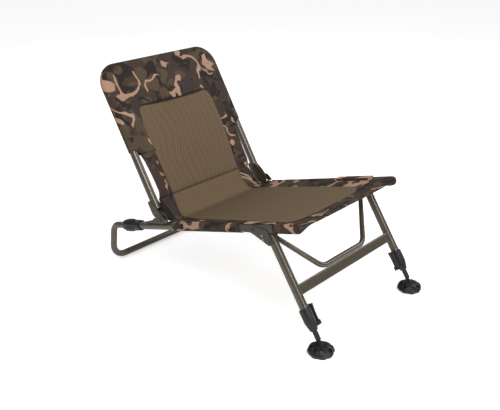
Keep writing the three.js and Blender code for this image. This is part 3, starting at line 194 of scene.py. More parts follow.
def shifted(tree, vector, offset, stretch=(1, 1, 1)):
    values = {"Vector": vector, "Location": offset, "Scale": stretch}
    return put(tree, "ShaderNodeMapping", values).outputs[0]


def step_mask(tree, value, edge, softness):
    """Nought below the edge and one above it, with a soft step."""
    raised = calc(tree, "SUBTRACT", value, edge)
    return calc(tree, "MULTIPLY_ADD", raised, 1 / softness, 0.5, clamped=True)


def build_worn_edges():
    tree, given, gives = shader_group(
        "worn_edges", [("Width", "Float", 0.001), ("Amount", "Float", 0.5)], [("Mask", "Float")])
    rounded = put(tree, "ShaderNodeBevel", {"Radius": given["Width"]}, samples=4)
    flat = put(tree, "ShaderNodeNewGeometry")
    turn = put(tree, "ShaderNodeVectorMath", {0: rounded.outputs[0], 1: flat.outputs["Normal"]},
               operation="DOT_PRODUCT").outputs["Value"]
    edge = times(tree, calc(tree, "SUBTRACT", 1.0, turn), 9.0, clamped=True)
    patchy = step_mask(tree, noise_at(tree, place_of(tree), 420.0, 4.0), 0.5, 0.22)
    mask = times(tree, times(tree, edge, patchy), given["Amount"])
    fill(tree, gives, {"Mask": mask})
    return tree


def build_use_marks():
    """Faint dust and rub marks that vary over a hard surface."""
    tree, given, gives = shader_group(
        "use_marks", [("Scale", "Float", 30.0), ("Amount", "Float", 0.5)],
        [("Mask", "Float"), ("Height", "Float")])
    here = place_of(tree)
    broad = noise_at(tree, here, given["Scale"], 5.0, 0.6)
    fine = noise_at(tree, shifted(tree, here, (0.3, 0.1, 0.7)), 900.0, 2.0)
    scratch = noise_at(tree, shifted(tree, here, (0, 0, 0), (1, 0.08, 1)), 700.0, 2.0)
    marks = times(tree, step_mask(tree, broad, 0.56, 0.3), given["Amount"])
    lines = times(tree, step_mask(tree, scratch, 0.7, 0.08), 0.5)
    lines = times(tree, lines, given["Amount"])
    fill(tree, gives, {"Mask": calc(tree, "MAXIMUM", marks, lines), "Height": fine})
    return tree


def build_rib_mesh():
    """Fine ribs that run along the seat and up the back, with rows of pores between them; the Shade
    output is painted shade, low in the rib valleys and pore hollows.
    """
    tree, given, gives = shader_group(
        "rib_mesh", [("Pitch", "Float", 0.005), ("Wander", "Float", 0.02)],
        [("Height", "Float"), ("Shade", "Float")])
    here = place_of(tree)
    apart = put(tree, "ShaderNodeSeparateXYZ", {0: here})
    drift = calc(tree, "SUBTRACT", noise_at(tree, here, 5.0, 1.0), 0.5)
    across = calc(tree, "MULTIPLY_ADD", drift, given["Wander"], apart.outputs["X"])
    turns = times(tree, calc(tree, "DIVIDE", across, given["Pitch"]), math.tau)
    beat = calc(tree, "SINE", times(tree, turns, 0.37))
    slow = calc(tree, "MULTIPLY_ADD", beat, 0.35, 0.0)
    rib = calc(tree, "MULTIPLY_ADD", calc(tree, "ADD", calc(tree, "SINE", turns), slow), 0.37, 0.5)
    pores = put(tree, "ShaderNodeTexVoronoi", {"Vector": here, "Scale": 430.0, "Randomness": 0.35})
    pore = step_mask(tree, pores.outputs["Distance"], 0.34, 0.3)
    height = calc(tree, "MULTIPLY_ADD", pore, 0.55, times(tree, rib, 0.8))
    # Painted shade: low where the ribs dip and in the pore hollows, the same places where the height is
    # low.
    shade = calc(tree, "ADD", times(tree, rib, 0.75), times(tree, pore, 0.25))
    fill(tree, gives, {"Height": height, "Shade": shade})
    return tree


def build_woven_cloth():
    tree, given, gives = shader_group(
        "woven_cloth", [("Pitch", "Float", 0.0011)], [("Height", "Float")])
    apart = put(tree, "ShaderNodeSeparateXYZ", {0: place_of(tree)})
    per_turn = calc(tree, "DIVIDE", math.tau, given["Pitch"])
    warp = calc(tree, "SINE", times(tree, apart.outputs["X"], per_turn))
    along = calc(tree, "ADD", apart.outputs["Y"], apart.outputs["Z"])
    weft = calc(tree, "SINE", times(tree, along, per_turn))
    fill(tree, gives, {"Height": times(tree, warp, weft)})
    return tree


def build_camouflage():
    """A generic woodland camouflage: soft-edged patches, with short bent limbs of tan over them."""
    colours = ("Ground", "Olive", "Plum", "Dark", "Tan")
    tree, given, gives = shader_group(
        "camouflage", [("Size", "Float", 1.0)] + [(c, "Color", None) for c in colours],
        [("Color", "Color")])
    scaled = put(tree, "ShaderNodeVectorMath", {0: place_of(tree), "Scale": given["Size"]},
                 operation="SCALE").outputs[0]

    def field(offset, scale, distortion):
        return noise_at(tree, shifted(tree, scaled, offset), scale, 1.0, 0.4, distortion)

    colour = given["Ground"]
    for name, offset, scale, edge, twist in (
            ("Olive", (1.7, 0.2, 4.1), 11.0, 0.49, 0.9),
            ("Plum", (8.3, 2.6, 0.4), 11.0, 0.55, 1.1),
            ("Dark", (3.9, 7.7, 2.2), 14.0, 0.59, 1.3)):
        patch = step_mask(tree, field(offset, scale, twist), edge, 0.012)
        colour = mix_colour(tree, patch, colour, given[name])
    ridge = calc(tree, "ABSOLUTE", calc(tree, "SUBTRACT", field((5.1, 9.2, 6.6), 6.6, 1.2), 0.5))
    limb = calc(tree, "SUBTRACT", 1.0, step_mask(tree, ridge, 0.04, 0.007))
    limb = times(tree, limb, step_mask(tree, field((2.2, 4.8, 9.4), 9.0, 0.5), 0.515, 0.01))
    fill(tree, gives, {"Color": mix_colour(tree, limb, colour, given["Tan"])})
    return tree


WORN_EDGES = build_worn_edges()
USE_MARKS = build_use_marks()
RIB_MESH = build_rib_mesh()
WOVEN_CLOTH = build_woven_cloth()
CAMOUFLAGE = build_camouflage()


def begin_material(name):
    made = bpy.data.materials.new(name)
    made.use_nodes = True
    return made, made.node_tree, made.node_tree.nodes["Principled BSDF"]


def use_group(tree, group, values):
    return put(tree, "ShaderNodeGroup", values, node_tree=group)


def bump(tree, shader, height, distance, strength, base=None):
    values = {"Height": height, "Distance": distance, "Strength": strength}
    if base is not None:
        values["Normal"] = base
    fill(tree, shader, {"Normal": put(tree, "ShaderNodeBump", values).outputs[0]})


def hard_finish(name, colour, rough, metallic=0.0, worn=None, wear=0.0, marks=0.2, grain=0.00004,
                edge=0.0006, coat=0.0):
    """Painted steel, plated steel or moulded plastic, with softened edges, grain and wear."""
    made, tree, shader = begin_material(name)
    spots = use_group(tree, USE_MARKS, {"Scale": 38.0, "Amount": marks})
    dust = tuple(lerp(c, 0.45, 0.16) for c in colour[:3]) + (1.0,)
    tint = mix_colour(tree, spots.outputs["Mask"], colour, dust)
    rubbed = use_group(tree, WORN_EDGES, {"Width": edge * 1.6, "Amount": wear})
    tint = mix_colour(tree, rubbed.outputs["Mask"], tint, worn or colour)
    rougher = calc(tree, "MULTIPLY_ADD", spots.outputs["Mask"], 0.25, rough)
    fill(tree, shader, {"Base Color": tint, "Roughness": rougher, "Metallic": metallic,
                        "Coat Weight": coat, "Coat Roughness": 0.2})
    softened = put(tree, "ShaderNodeBevel", {"Radius": edge}, samples=4).outputs[0]
    bump(tree, shader, spots.outputs["Height"], grain, 0.6, softened)
    return made


def camouflage_finish():
    made, tree, shader = begin_material("camouflage_polyester")
    pattern = use_group(tree, CAMOUFLAGE, {
        "Size": 1.3, "Ground": linear(66, 51, 41), "Olive": linear(78, 66, 50),
        "Plum": linear(60, 49, 46), "Dark": linear(42, 35, 32), "Tan": linear(164, 130, 110)})
    cloth = use_group(tree, WOVEN_CLOTH, {"Pitch": 0.0012})
    faded = noise_at(tree, place_of(tree), 24.0, 4.0)
    shade = calc(tree, "MULTIPLY_ADD", faded, 0.35, 0.83)
    grey = put(tree, "ShaderNodeCombineColor", {0: shade, 1: shade, 2: shade}).outputs[0]
    toned = mix_colour(tree, 1.0, pattern.outputs["Color"], grey, "MULTIPLY")
    fill(tree, shader, {"Base Color": toned, "Roughness": 0.8, "Specular IOR Level": 0.25})
    bump(tree, shader, cloth.outputs["Height"], 0.00012, 0.5)
    return made


def mesh_finish(name, colour, strength):
    made, tree, shader = begin_material(name)
    ribs = use_group(tree, RIB_MESH, {"Pitch": 0.009, "Wander": 0.09})
    broad = noise_at(tree, place_of(tree), 9.0, 3.0)
    # Painted shade: the rib valleys and pore hollows get a darker copy of the mesh colour.
    valley_painted_shade = tuple(c * lerp(1.0, 0.42, strength) for c in colour[:3]) + (1.0,)
    tint = mix_colour(tree, ribs.outputs["Shade"], valley_painted_shade, colour)
    aged = tuple(c * 0.86 for c in colour[:3]) + (1.0,)
    tint = mix_colour(tree, times(tree, step_mask(tree, broad, 0.5, 0.5), 0.4), tint, aged)
    fill(tree, shader, {"Base Color": tint, "Roughness": 0.9, "Specular IOR Level": 0.2})
    bump(tree, shader, ribs.outputs["Height"], 0.0006, strength)
    return made


def tape_finish():
    made, tree, shader = begin_material("binding_tape")
    cloth = use_group(tree, WOVEN_CLOTH, {"Pitch": 0.0009})
    patchy = noise_at(tree, place_of(tree), 60.0, 3.0)
    tint = mix_colour(tree, patchy, linear(62, 52, 42), linear(80, 68, 54))
    fill(tree, shader, {"Base Color": tint, "Roughness": 0.8})
    bump(tree, shader, cloth.outputs["Height"], 0.0001, 0.6)
    return made


TUBE = hard_finish("olive_tube_paint", linear(86, 78, 65), 0.22, 0.35, linear(140, 132, 116), 0.2, 0.12,
                   coat=0.5)
PLATE = hard_finish("olive_plate_paint", linear(68, 62, 51), 0.4, 0.25, linear(124, 116, 100), 0.5, 0.2)
STEEL = hard_finish("plated_steel", linear(150, 148, 140), 0.3, 0.9, linear(190, 188, 180), 0.3, 0.3)
BLACK = hard_finish("black_nylon", linear(24, 24, 26), 0.34, 0.0, linear(70, 70, 72), 0.45, 0.08,
                    grain=0.00008, edge=0.0009)
RUBBER = hard_finish("foot_rubber", linear(23, 23, 25), 0.38, 0.0, linear(66, 66, 66), 0.4, 0.15,
                     grain=0.00012, edge=0.0012)
CAMO = camouflage_finish()
MESH = mesh_finish("khaki_back_mesh", linear(112, 94, 73), 0.85)
SEAT_MESH = mesh_finish("khaki_seat_mesh", linear(110, 93, 71), 0.5)
TAPE = tape_finish()
RIVET = hard_finish("dark_rivet_paint", linear(52, 48, 42), 0.32, 0.4, linear(120, 114, 102), 0.5, 0.1)
# Partly binding, partly painted shadow: a dark band wider and darker than the binding, for the shade
# under the headrest flap.
HEM_AND_SHADOW = hard_finish("binding_and_painted_shadow", linear(34, 28, 25), 0.85, marks=0.05)
THREAD = hard_finish("brown_thread", linear(62, 52, 44), 0.7, marks=0.1)


# Meshes
def linked(name, data):
    made = bpy.data.objects.new(name, data)
    bpy.context.scene.collection.objects.link(made)
    return made


def finish_mesh(made, body, slot, *nodes):
    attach(made, body)
    if nodes:
        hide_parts(*nodes)


def mesh_object(name, verts, faces, material):
    nearest = 1e-6
    data = bpy.data.meshes.new(name)
    data.from_pydata([tuple(v) for v in verts], [], faces)
    work = bmesh.new()
    work.from_mesh(data)
    bmesh.ops.remove_doubles(work, verts=work.verts, dist=nearest)
    bmesh.ops.dissolve_degenerate(work, edges=work.edges, dist=nearest)
    bmesh.ops.recalc_face_normals(work, faces=work.faces)
    work.to_mesh(data)
    work.free()
    data.shade_smooth()
    data.materials.append(material)
    return linked(name, data)


def loft(name, rings, material, closed_path=False):
    """Joins rings of equal length, with a cap at each end unless the path is closed."""
    size = len(rings[0])
    verts = [p for ring in rings for p in ring]
    faces = []
    for j in range(len(rings) if closed_path else len(rings) - 1):
        base, ahead = j * size, ((j + 1) % len(rings)) * size
        for i in range(size):
            k = (i + 1) % size
            faces.append((base + i, base + k, ahead + k, ahead + i))
    if not closed_path:
        faces.append(tuple(range(size)))
        faces.append(tuple(len(verts) - size + i for i in reversed(range(size))))
    return mesh_object(name, verts, faces, material)


def two_sided(name, columns, rows, front, rear, material, rimmed=True):
    """A panel with a front and a rear surface over one grid; equal borders merge, others get a rim."""
    verts = [side(i / columns, j / rows) for side in (front, rear)
             for j in range(rows + 1) for i in range(columns + 1)]
    half = (columns + 1) * (rows + 1)

    def at(layer, i, j):
        return layer * half + j * (columns + 1) + i

    faces = []
    for j in range(rows):
        for i in range(columns):
            faces.append((at(0, i, j), at(0, i + 1, j), at(0, i + 1, j + 1), at(0, i, j + 1)))
            faces.append((at(1, i, j), at(1, i, j + 1), at(1, i + 1, j + 1), at(1, i + 1, j)))
    rim = [(i, 0) for i in range(columns)] + [(columns, j) for j in range(rows)]
    rim += [(i, rows) for i in range(columns, 0, -1)] + [(0, j) for j in range(rows, 0, -1)]
    if rimmed and any((verts[at(0, *p)] - verts[at(1, *p)]).length > 1e-6 for p in rim):
        for p, q in zip(rim, rim[1:] + rim[:1]):
            faces.append((at(0, *q), at(0, *p), at(1, *p), at(1, *q)))
    return mesh_object(name, verts, faces, material)


def rounded_path(corners, bends):
    """The corners joined by straight runs and round bends, with a bend radius per inner corner."""
    steps, path = 12, [corners[0]]
    for before, corner, after, radius in zip(corners, corners[1:], corners[2:], bends):
        back, ahead = (before - corner).normalized(), (after - corner).normalized()
        half = back.angle(ahead) / 2
        reach = radius / math.tan(half)
        centre = corner + (back + ahead).normalized() * (radius / math.sin(half))
        start, end = corner + back * reach - centre, corner + ahead * reach - centre
        axis, sweep = start.cross(end).normalized(), start.angle(end)
        path += [centre + Matrix.Rotation(sweep * k / steps, 3, axis) @ start for k in range(steps + 1)]
    return path + [corners[-1]]


def tube_rings(path, radius, sides=32, closed=False, squash=None):
    """Rings round a path that carry one frame along it, so that the tube never twists."""
    rings, normal = [], None
    count = len(path)
    for i, place in enumerate(path):
        before = path[(i - 1) % count] if closed or i else place
        after = path[(i + 1) % count] if closed or i < count - 1 else place
        tangent = (after - before).normalized()
        if normal is None:
            normal = tangent.orthogonal().normalized()
        normal = (normal - tangent * normal.dot(tangent)).normalized()
        other = tangent.cross(normal)
        ring = []
        for k in range(sides):
            angle = math.tau * k / sides
            offset = (normal * math.cos(angle) + other * math.sin(angle)) * radius
            if squash:
                offset = squash(i, offset)
            ring.append(place + offset)
        rings.append(ring)
    return rings


def thin_rope(name, path, radius, material, closed=False):
    return loft(name, tube_rings(path, radius, 8, closed), material, closed)


def joined(name, parts):
    """Several meshes of one material as one object."""
    material = parts[0].data.materials[0]
    work = bmesh.new()
    for part in parts:
        work.from_mesh(part.data)
        bpy.data.objects.remove(part)
    data = bpy.data.meshes.new(name)
    work.to_mesh(data)
    work.free()
    data.materials.append(material)
    return linked(name, data)


def puckered(place, amount, scale, seed):
    """How far fabric lifts at a place, from soft uneven folds."""
    return amount * noise.noise(place * scale + Vector((seed, 0, 0)))


def inflate(piece, cap, hidden):
    """Blows a closed panel up as cloth; its hidden side stays and the rest bulges by up to a cap."""
    pressure, frames, hidden_from = 4.0, 20, 0.3
    cloth = piece.modifiers.new("inflate", "CLOTH")
    cloth.settings.use_pressure = True
    cloth.settings.uniform_pressure_force = pressure
    cloth.settings.effector_weights.gravity = 0
    cloth.settings.quality = 6
    cloth.point_cache.frame_start, cloth.point_cache.frame_end = 1, frames
    scene = bpy.context.scene
    for at in range(1, frames + 1):
        scene.frame_set(at)
    blown = piece.evaluated_get(bpy.context.evaluated_depsgraph_get()).data
    outwards = [vertex.normal.copy() for vertex in piece.data.vertices]
    for own, moved, outward in zip(piece.data.vertices, blown.vertices, outwards):
        if outward.dot(hidden) > hidden_from:
            continue
        shift = moved.co - own.co
        shift -= outward * min(0.0, shift.dot(outward))
        if shift.length > cap:
            shift *= cap / shift.length
        own.co = own.co + shift
    piece.modifiers.clear()
    scene.frame_set(1)


def blown_panel(name, columns, rows, place, ways, material, cap, hidden):
    """A closed pad between two levels of a surface."""
    front, rear = [lambda i, j, way=way: place(i, j, way) for way in ways]
    pad = two_sided(name, columns, rows, front, rear, material)
    inflate(pad, cap, hidden)
    rounder = pad.modifiers.new("rounder", "SUBSURF")
    rounder.levels = rounder.render_levels = 1
    return pad


# Geometry node trees
def geometry_group(name, inputs):
    shape = [("Geometry", "Geometry", None)]
    return new_group(name, "GeometryNodeTree", shape + inputs, [("Geometry", "Geometry")])


def build_even_shading():
    """Joins loose triangles and shades all but the sharp edges smooth."""
    tree, given, gives = geometry_group("even_shading", [("Sharp Angle", "Float", 0.6)])
    merged = put(tree, "GeometryNodeMergeByDistance",
                 {"Geometry": given["Geometry"], "Distance": 1e-6})
    soft = put(tree, "GeometryNodeSetShadeSmooth",
               {"Geometry": merged.outputs[0], "Shade Smooth": True}, domain="FACE")
    angle = put(tree, "GeometryNodeInputMeshEdgeAngle").outputs["Unsigned Angle"]
    sharp = put(tree, "FunctionNodeCompare", {0: angle, 1: given["Sharp Angle"]},
                data_type="FLOAT", operation="GREATER_THAN").outputs[0]
    crisp = put(tree, "GeometryNodeSetShadeSmooth", {
        "Geometry": soft.outputs[0], "Selection": sharp, "Shade Smooth": False}, domain="EDGE")
    fill(tree, gives, {"Geometry": crisp.outputs[0]})
    return tree


def repeated(tree, given, gives, values):
    """Ends a tree with a real, smooth copy of an instance at each point."""
    laid = put(tree, "GeometryNodeInstanceOnPoints", values)
    real = put(tree, "GeometryNodeRealizeInstances", {0: laid.outputs[0]})
    soft = put(tree, "GeometryNodeSetShadeSmooth", {0: real.outputs[0]})
    done = put(tree, "GeometryNodeSetMaterial",
               {"Geometry": soft.outputs[0], "Material": given["Material"]})
    fill(tree, gives, {"Geometry": done.outputs[0]})
    return tree


def build_stitches():
    """Short threads laid end to end along each line of edges."""
    tree, given, gives = geometry_group("stitch_rows", [
        ("Stitch", "Float", 0.0032), ("Step", "Float", 0.005),
        ("Thread", "Float", 0.0005), ("Material", "Material", None)])
    line = put(tree, "GeometryNodeMeshToCurve", {"Mesh": given["Geometry"]})
    spaced = put(tree, "GeometryNodeResampleCurve",
                 {"Curve": line.outputs[0], "Length": given["Step"]}, mode="LENGTH")
    bead = put(tree, "GeometryNodeMeshUVSphere", {"Segments": 5, "Rings": 4, "Radius": 1.0})
    size = put(tree, "ShaderNodeCombineXYZ", {0: given["Thread"], 1: given["Thread"],
                                              2: times(tree, given["Stitch"], 0.5)})
    way = put(tree, "FunctionNodeAlignRotationToVector",
              {"Vector": put(tree, "GeometryNodeInputTangent").outputs[0]}, axis="Z")
    return repeated(tree, given, gives, {"Points": spaced.outputs[0], "Instance": bead.outputs["Mesh"],
                                         "Rotation": way.outputs[0], "Scale": size.outputs[0]})


def build_rivets():
    """A domed rivet across X at each point."""
    tree, given, gives = geometry_group("domed_rivets", [
        ("Shank", "Float", 0.0035), ("Head", "Float", 0.006),
        ("Rise", "Float", 0.002), ("Half Length", "Float", RIVET_REACH),
        ("Material", "Material", None)])
    names = ("Shank", "Head", "Rise", "Half Length")
    radius, head, rise, half_length = [given[name] for name in names]
    shank = put(tree, "GeometryNodeMeshCylinder", {"Vertices": 20, "Radius": radius,
                                                   "Depth": times(tree, half_length, 2.0)})
    parts = [put(tree, "GeometryNodeTransform",
                 {"Geometry": shank.outputs["Mesh"], "Rotation": (0, math.pi / 2, 0)})]
    for sign in (-1.0, 1.0):
        ball = put(tree, "GeometryNodeMeshUVSphere", {"Segments": 20, "Rings": 10, "Radius": 1.0})
        squash = put(tree, "ShaderNodeCombineXYZ", {0: rise, 1: head, 2: head})
        out = put(tree, "ShaderNodeCombineXYZ", {0: times(tree, half_length, sign)})
        parts.append(put(tree, "GeometryNodeTransform", {
            "Geometry": ball.outputs["Mesh"], "Scale": squash.outputs[0],
            "Translation": out.outputs[0]}))
    together = tree.nodes.new("GeometryNodeJoinGeometry")
    for part in parts:
        tree.links.new(part.outputs[0], together.inputs[0])
    return repeated(tree, given, gives, {"Points": given["Geometry"],
                                         "Instance": together.outputs[0]})


EVEN_SHADING = build_even_shading()
STITCH_ROWS = build_stitches()
DOMED_RIVETS = build_rivets()


def through_tree(piece, tree, values):
    """Runs a node tree on a piece, with its inputs set by identifier."""
    modifier = piece.modifiers.new(tree.name, "NODES")
    modifier.node_group = tree
    for item in tree.interface.items_tree:
        if item.item_type == "SOCKET" and item.in_out == "INPUT" and item.name in values:
            modifier[item.identifier] = values[item.name]


def made_solid(piece):
    """Turns the result of a piece's modifiers into its own plain mesh."""
    piece.update_tag()
    bpy.context.view_layer.update()
    done = bpy.data.meshes.new_from_object(piece.evaluated_get(bpy.context.evaluated_depsgraph_get()))
    piece.modifiers.clear()
    piece.data = done
    return piece


def grown(name, verts, edges, tree, values, body, slot, *nodes):
    """A piece that a node tree makes from loose points or lines of edges."""
    data = bpy.data.meshes.new(name)
    data.from_pydata([tuple(v) for v in verts], edges, [])
    piece = linked(name, data)
    through_tree(piece, tree, values)
    finish_mesh(made_solid(piece), body, slot, *nodes)


def stitched(name, lines, body):
    verts, edges = [], []
    for line in lines:
        edges += [(len(verts) + i, len(verts) + i + 1) for i in range(len(line) - 1)]
        verts += line
    grown(name, verts, edges, STITCH_ROWS, {"Material": THREAD}, body, "mesh_fabric")


def riveted(name, places, sizes, body, nodes):
    sizes = {**sizes, "Half Length": RIVET_REACH, "Material": RIVET}
    grown(name, places, [], DOMED_RIVETS, sizes, body, "steel", *nodes)


def evenly(points, count):
    """Points at even steps along a flat line of given points."""
    lengths = [math.dist(a, b) for a, b in zip(points, points[1:])]
    made = []
    for k in range(count):
        left = sum(lengths) * k / (count - 1)
        i = 0
        while i < len(lengths) - 1 and left > lengths[i]:
            left -= lengths[i]
            i += 1
        share = clamp(left / lengths[i])
        made.append(tuple(lerp(a, b, share) for a, b in zip(points[i], points[i + 1])))
    return made


# The surfaces that the covers lie on
def seat_height(x, along):
    share = (along - SEAT_FRONT) / (SEAT_REAR - SEAT_FRONT)
    middle = lerp(-0.009, 0.003, share) * smooth(along, -0.02, 0.09)
    edge = lerp(0.004, 0.009, smooth(along, 0.0, 0.06))
    return middle + (edge - middle) * min(abs(x) / 0.226, 1.0) ** 6


def back_depth(up):
    """How far behind the pivot the front face of the cover lies."""
    if up >= SEAM_UP:
        return lerp(0.011, 0.002, clamp((up - SEAM_UP) / (POCKET_START - SEAM_UP)))
    return lerp(0.008, 0.011, up / SEAM_UP)


def mesh_half_width_back(up):
    waist_up, corner = 0.05, 0.05
    wide = lerp(0.155, 0.163, smooth(up, waist_up, 0.24))
    if up < waist_up:
        wide = lerp(0.160, 0.155, up / waist_up)
    rounding = clamp((up - (MESH_TOP - corner)) / corner)
    return wide - 0.03 * (1 - math.sqrt(max(0.0, 1 - rounding * rounding)))


def mesh_half_width_seat(along):
    return lerp(0.178, 0.168, smooth(along, 0.42, 0.508))


def mesh_front(across):
    """Where the seat's mesh begins, for a share of its half width."""
    bow = 1 - min(1.0, abs(across)) ** 3
    return MESH_FRONT + MESH_CORNER * (1 - bow ** (1 / 3))


def free_edge(up):
    """Half width of the back's loose fabric below the hoop pocket, narrowest at a waist."""
    narrowest, widest, waist_up, spread = 0.207, 0.2165, 0.106, 0.084
    return min(narrowest + 0.007 * ((up - waist_up) / spread) ** 2, widest)


def crease_profile(share):
    """Middle line of the cover from the seat over the crease to the seam, and its upward normal."""
    from_place, bend = on_rail(0, SEAT_REAR, CREASE_RISE), on_rail(0, CREASE_BEND, CREASE_RISE)
    to_place = on_back(0, BACK_BOTTOM, back_depth(BACK_BOTTOM) + COVER_DEPTH)
    seat_part, back_part = 0.2, 0.7
    if share < seat_part:
        place = on_rail(0, lerp(CREASE_FROM, SEAT_REAR, share / seat_part), CREASE_RISE)
        slope = bend - from_place
    elif share < back_part:
        t = (share - seat_part) / (back_part - seat_part)
        rest = 1 - t
        place = from_place * rest * rest + bend * 2 * rest * t + to_place * t * t
        slope = (bend - from_place) * rest + (to_place - bend) * t
    else:
        up = lerp(BACK_BOTTOM, SEAM_UP, (share - back_part) / (1 - back_part))
        place = on_back(0, up, back_depth(up) + COVER_DEPTH)
        slope = UPWARD
    slope = slope.normalized()
    return place, Vector((0, -slope.z, slope.y))


def crease_half_width(share):
    seat_end, back_end = mesh_half_width_seat(CREASE_FROM), mesh_half_width_back(SEAM_UP)
    return lerp(seat_end, back_end, smooth(share, 0.0, 1.0))


def bend_with_back(piece):
    """Bakes the piece's placement into its mesh."""
    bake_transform(piece)


def eased_side(i):
    """A share from side to side as -1 to 1, with closer steps near both sides."""
    return math.sin(math.pi / 2 * (2 * i - 1))


# Seat cover: camouflage sling with sleeves round the rails
def build_seat_sling():
    half_columns, arc_steps, row_step = 22, 20, 0.006
    reaches = {"sleeve": SLING_EDGE, "saddle": SLING_EDGE, "rear": SLING_REAR_EDGE}
    wall = SLING_THICKNESS / 2
    over_saddle = [(0.2225, 0.0132), (0.2265, 0.0165), (0.235, 0.0168), (0.2435, 0.0165),
                   (0.2477, 0.0162)]

    def sleeve_arc(along, shrink, fold):
        gather = 1 + 0.05 * math.sin(along * 900) * smooth(along, 0.455, SLEEVE_REAR_END)
        arc = []
        for k in range(1, arc_steps):
            angle = math.radians(lerp(136, lerp(-160, -112, fold), k / arc_steps))
            loose = 0.0005 * noise.noise(Vector((along * 30, angle, 1.7)))
            radius = SLEEVE_RADIUS * max(shrink, 0.16) * gather + loose
            arc.append((RAIL_X + radius * math.cos(angle), radius * math.sin(angle)))
        return arc

    def round_edge(reach, middle):
        angles = [math.radians(lerp(90, -90, k / arc_steps)) for k in range(1, arc_steps)]
        return [(reach + wall * math.cos(a), middle + wall * math.sin(a)) for a in angles]

    def section(along, kind, shrink=1.0):
        reach = reaches[kind]
        fold = 1 - smooth(along, 0.012, 0.05)
        top, bottom = [], []
        for i in range(half_columns + 1):
            x = reach * math.sin(math.pi / 2 * i / half_columns)
            drawn = seat_height(x, along) - 0.0012
            lift = puckered(Vector((x, along, 0)), 0.0011, 26.0, 3.1) * (1 - 0.7 * fold)
            gusset = fold * clamp((x - GUSSET_FROM) / (SLING_EDGE - GUSSET_FROM))
            top.append((x, drawn + wall * shrink + lift))
            bottom.append((x, lerp(drawn - wall * shrink + lift, -GUSSET_DEPTH * shrink, gusset)))
        if kind == "saddle":
            under = [(x - 0.0004, w - 0.0013) for x, w in over_saddle[::-1]]
            bottom[-1] = (bottom[-1][0] - 0.002, bottom[-1][1])
            arc = evenly(over_saddle + under, arc_steps - 1)
        elif kind == "sleeve":
            arc = sleeve_arc(along, shrink, fold)
        else:
            arc = round_edge(reach, (top[-1][1] + bottom[-1][1]) / 2)
        half = top + arc + bottom[::-1]
        ring = [on_rail(x, along, w) for x, w in half]
        return ring + [on_rail(-x, along, w) for x, w in half[::-1][1:-1]]

    tips = ((-0.0105, 0.05), (-0.0085, 0.3), (-0.0055, 0.62), (-0.0025, 0.85), (0.0005, 0.97))
    rings = [section(along, "sleeve", shrink) for along, shrink in tips]
    hem = SLEEVE_REAR_END + 0.002
    spans = ((SEAT_FRONT, SADDLE_FROM, "sleeve"), (SADDLE_FROM, SADDLE_TO, "saddle"),
             (SADDLE_TO, hem, "sleeve"), (hem, SEAT_REAR, "rear"))
    for start, end, kind in spans:
        count = max(2, round((end - start) / row_step))
        rings += [section(lerp(start, end, k / count), kind) for k in range(count + 1)]
    sling = loft("seat_sling", rings, CAMO)
    finish_mesh(sling, "seat_frame", "mesh_fabric", "seat_cover")


def build_seat_pad():
    def place(i, j, way):
        side = eased_side(i)
        begin = mesh_front(side)
        along = lerp(begin, MESH_REAR, j)
        x = side * mesh_half_width_seat(along)
        rim = min(1.0, 2.2 * math.sqrt(max(0.0, (1 - abs(side)) * 4)), (along - begin) / 0.02 + 0.02)
        inner = seat_height(x, along) + 0.0003
        return on_rail(x, along, inner + way * (0.0006 + 0.0024 * math.sqrt(clamp(rim))))

    down = on_rail(0, 0, -1) - on_rail(0, 0, 0)
    pad = blown_panel("seat_mesh_pad", 48, 56, place, (1.0, -0.6), SEAT_MESH, 0.0022, down)
    finish_mesh(pad, "seat_frame", "mesh_fabric", "seat_cover")


def build_crease():
    def surface(level, wide):
        def place(i, j):
            middle, normal = crease_profile(j)
            across = 2 * i - 1
            x = across * wide(j)
            sink = 0.0015 * (1 - abs(across) ** 4) * math.sin(math.pi * clamp((j - 0.1) / 0.7))
            bunch = puckered(Vector((x, j * 0.12, 0.4)), 0.004, 34.0, 6.0)
            bunch *= smooth(abs(across), 0.82, 0.94)
            lift = level - sink + bunch * math.sin(math.pi * j)
            return Vector((x, middle.y, middle.z)) + normal * lift
        return place

    def strap_width(share):
        return lerp(SLING_REAR_EDGE, free_edge(SEAM_UP), smooth(share, 0.3, 1.0))

    under = two_sided("crease_cover", 40, 30, surface(-0.0004, strap_width),
                      surface(-0.0036, strap_width), CAMO)
    pad = two_sided("crease_mesh_pad", 40, 36, surface(0.0033, crease_half_width),
                    surface(-0.001, crease_half_width), SEAT_MESH)
    for piece in (under, pad):
        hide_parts("crease_strip")
        bend_with_back(piece)


# Back cover: a pocket over the hoop, a loose lower part, a mesh pad and a headrest
def rim_distance(x, up):
    dx, du = abs(x) - HOOP_FLAT_X, up - HOOP_FLAT_UP
    if dx > 0 and du > 0:
        return HOOP_OUTER - math.hypot(dx, du)
    return min(HOOP_OUTER - dx, HOOP_OUTER - du)


def pocket_depth(x, up, way):
    """How far behind the pivot the pocket's front (-1) or rear (1) face lies."""
    inward = max(0.0, rim_distance(x, up))
    if inward < SLEEVE_RADIUS:
        bulge = math.sqrt(max(0.0, SLEEVE_RADIUS ** 2 - (SLEEVE_RADIUS - inward) ** 2))
        depth = HOOP_BEHIND + way * bulge
    elif way < 0:
        depth = lerp(HOOP_BEHIND - SLEEVE_RADIUS, 0.0035, smooth(inward, SLEEVE_RADIUS, 0.075))
    else:
        depth = lerp(HOOP_BEHIND + SLEEVE_RADIUS, 0.0105, smooth(inward, SLEEVE_RADIUS, 0.045))
    fold = puckered(Vector((x, up, way * 0.3)), 0.0022, 17.0, 5.0)
    return depth + fold * smooth(inward, 0.0, 0.03) * smooth(up, POCKET_START, POCKET_START + 0.03)


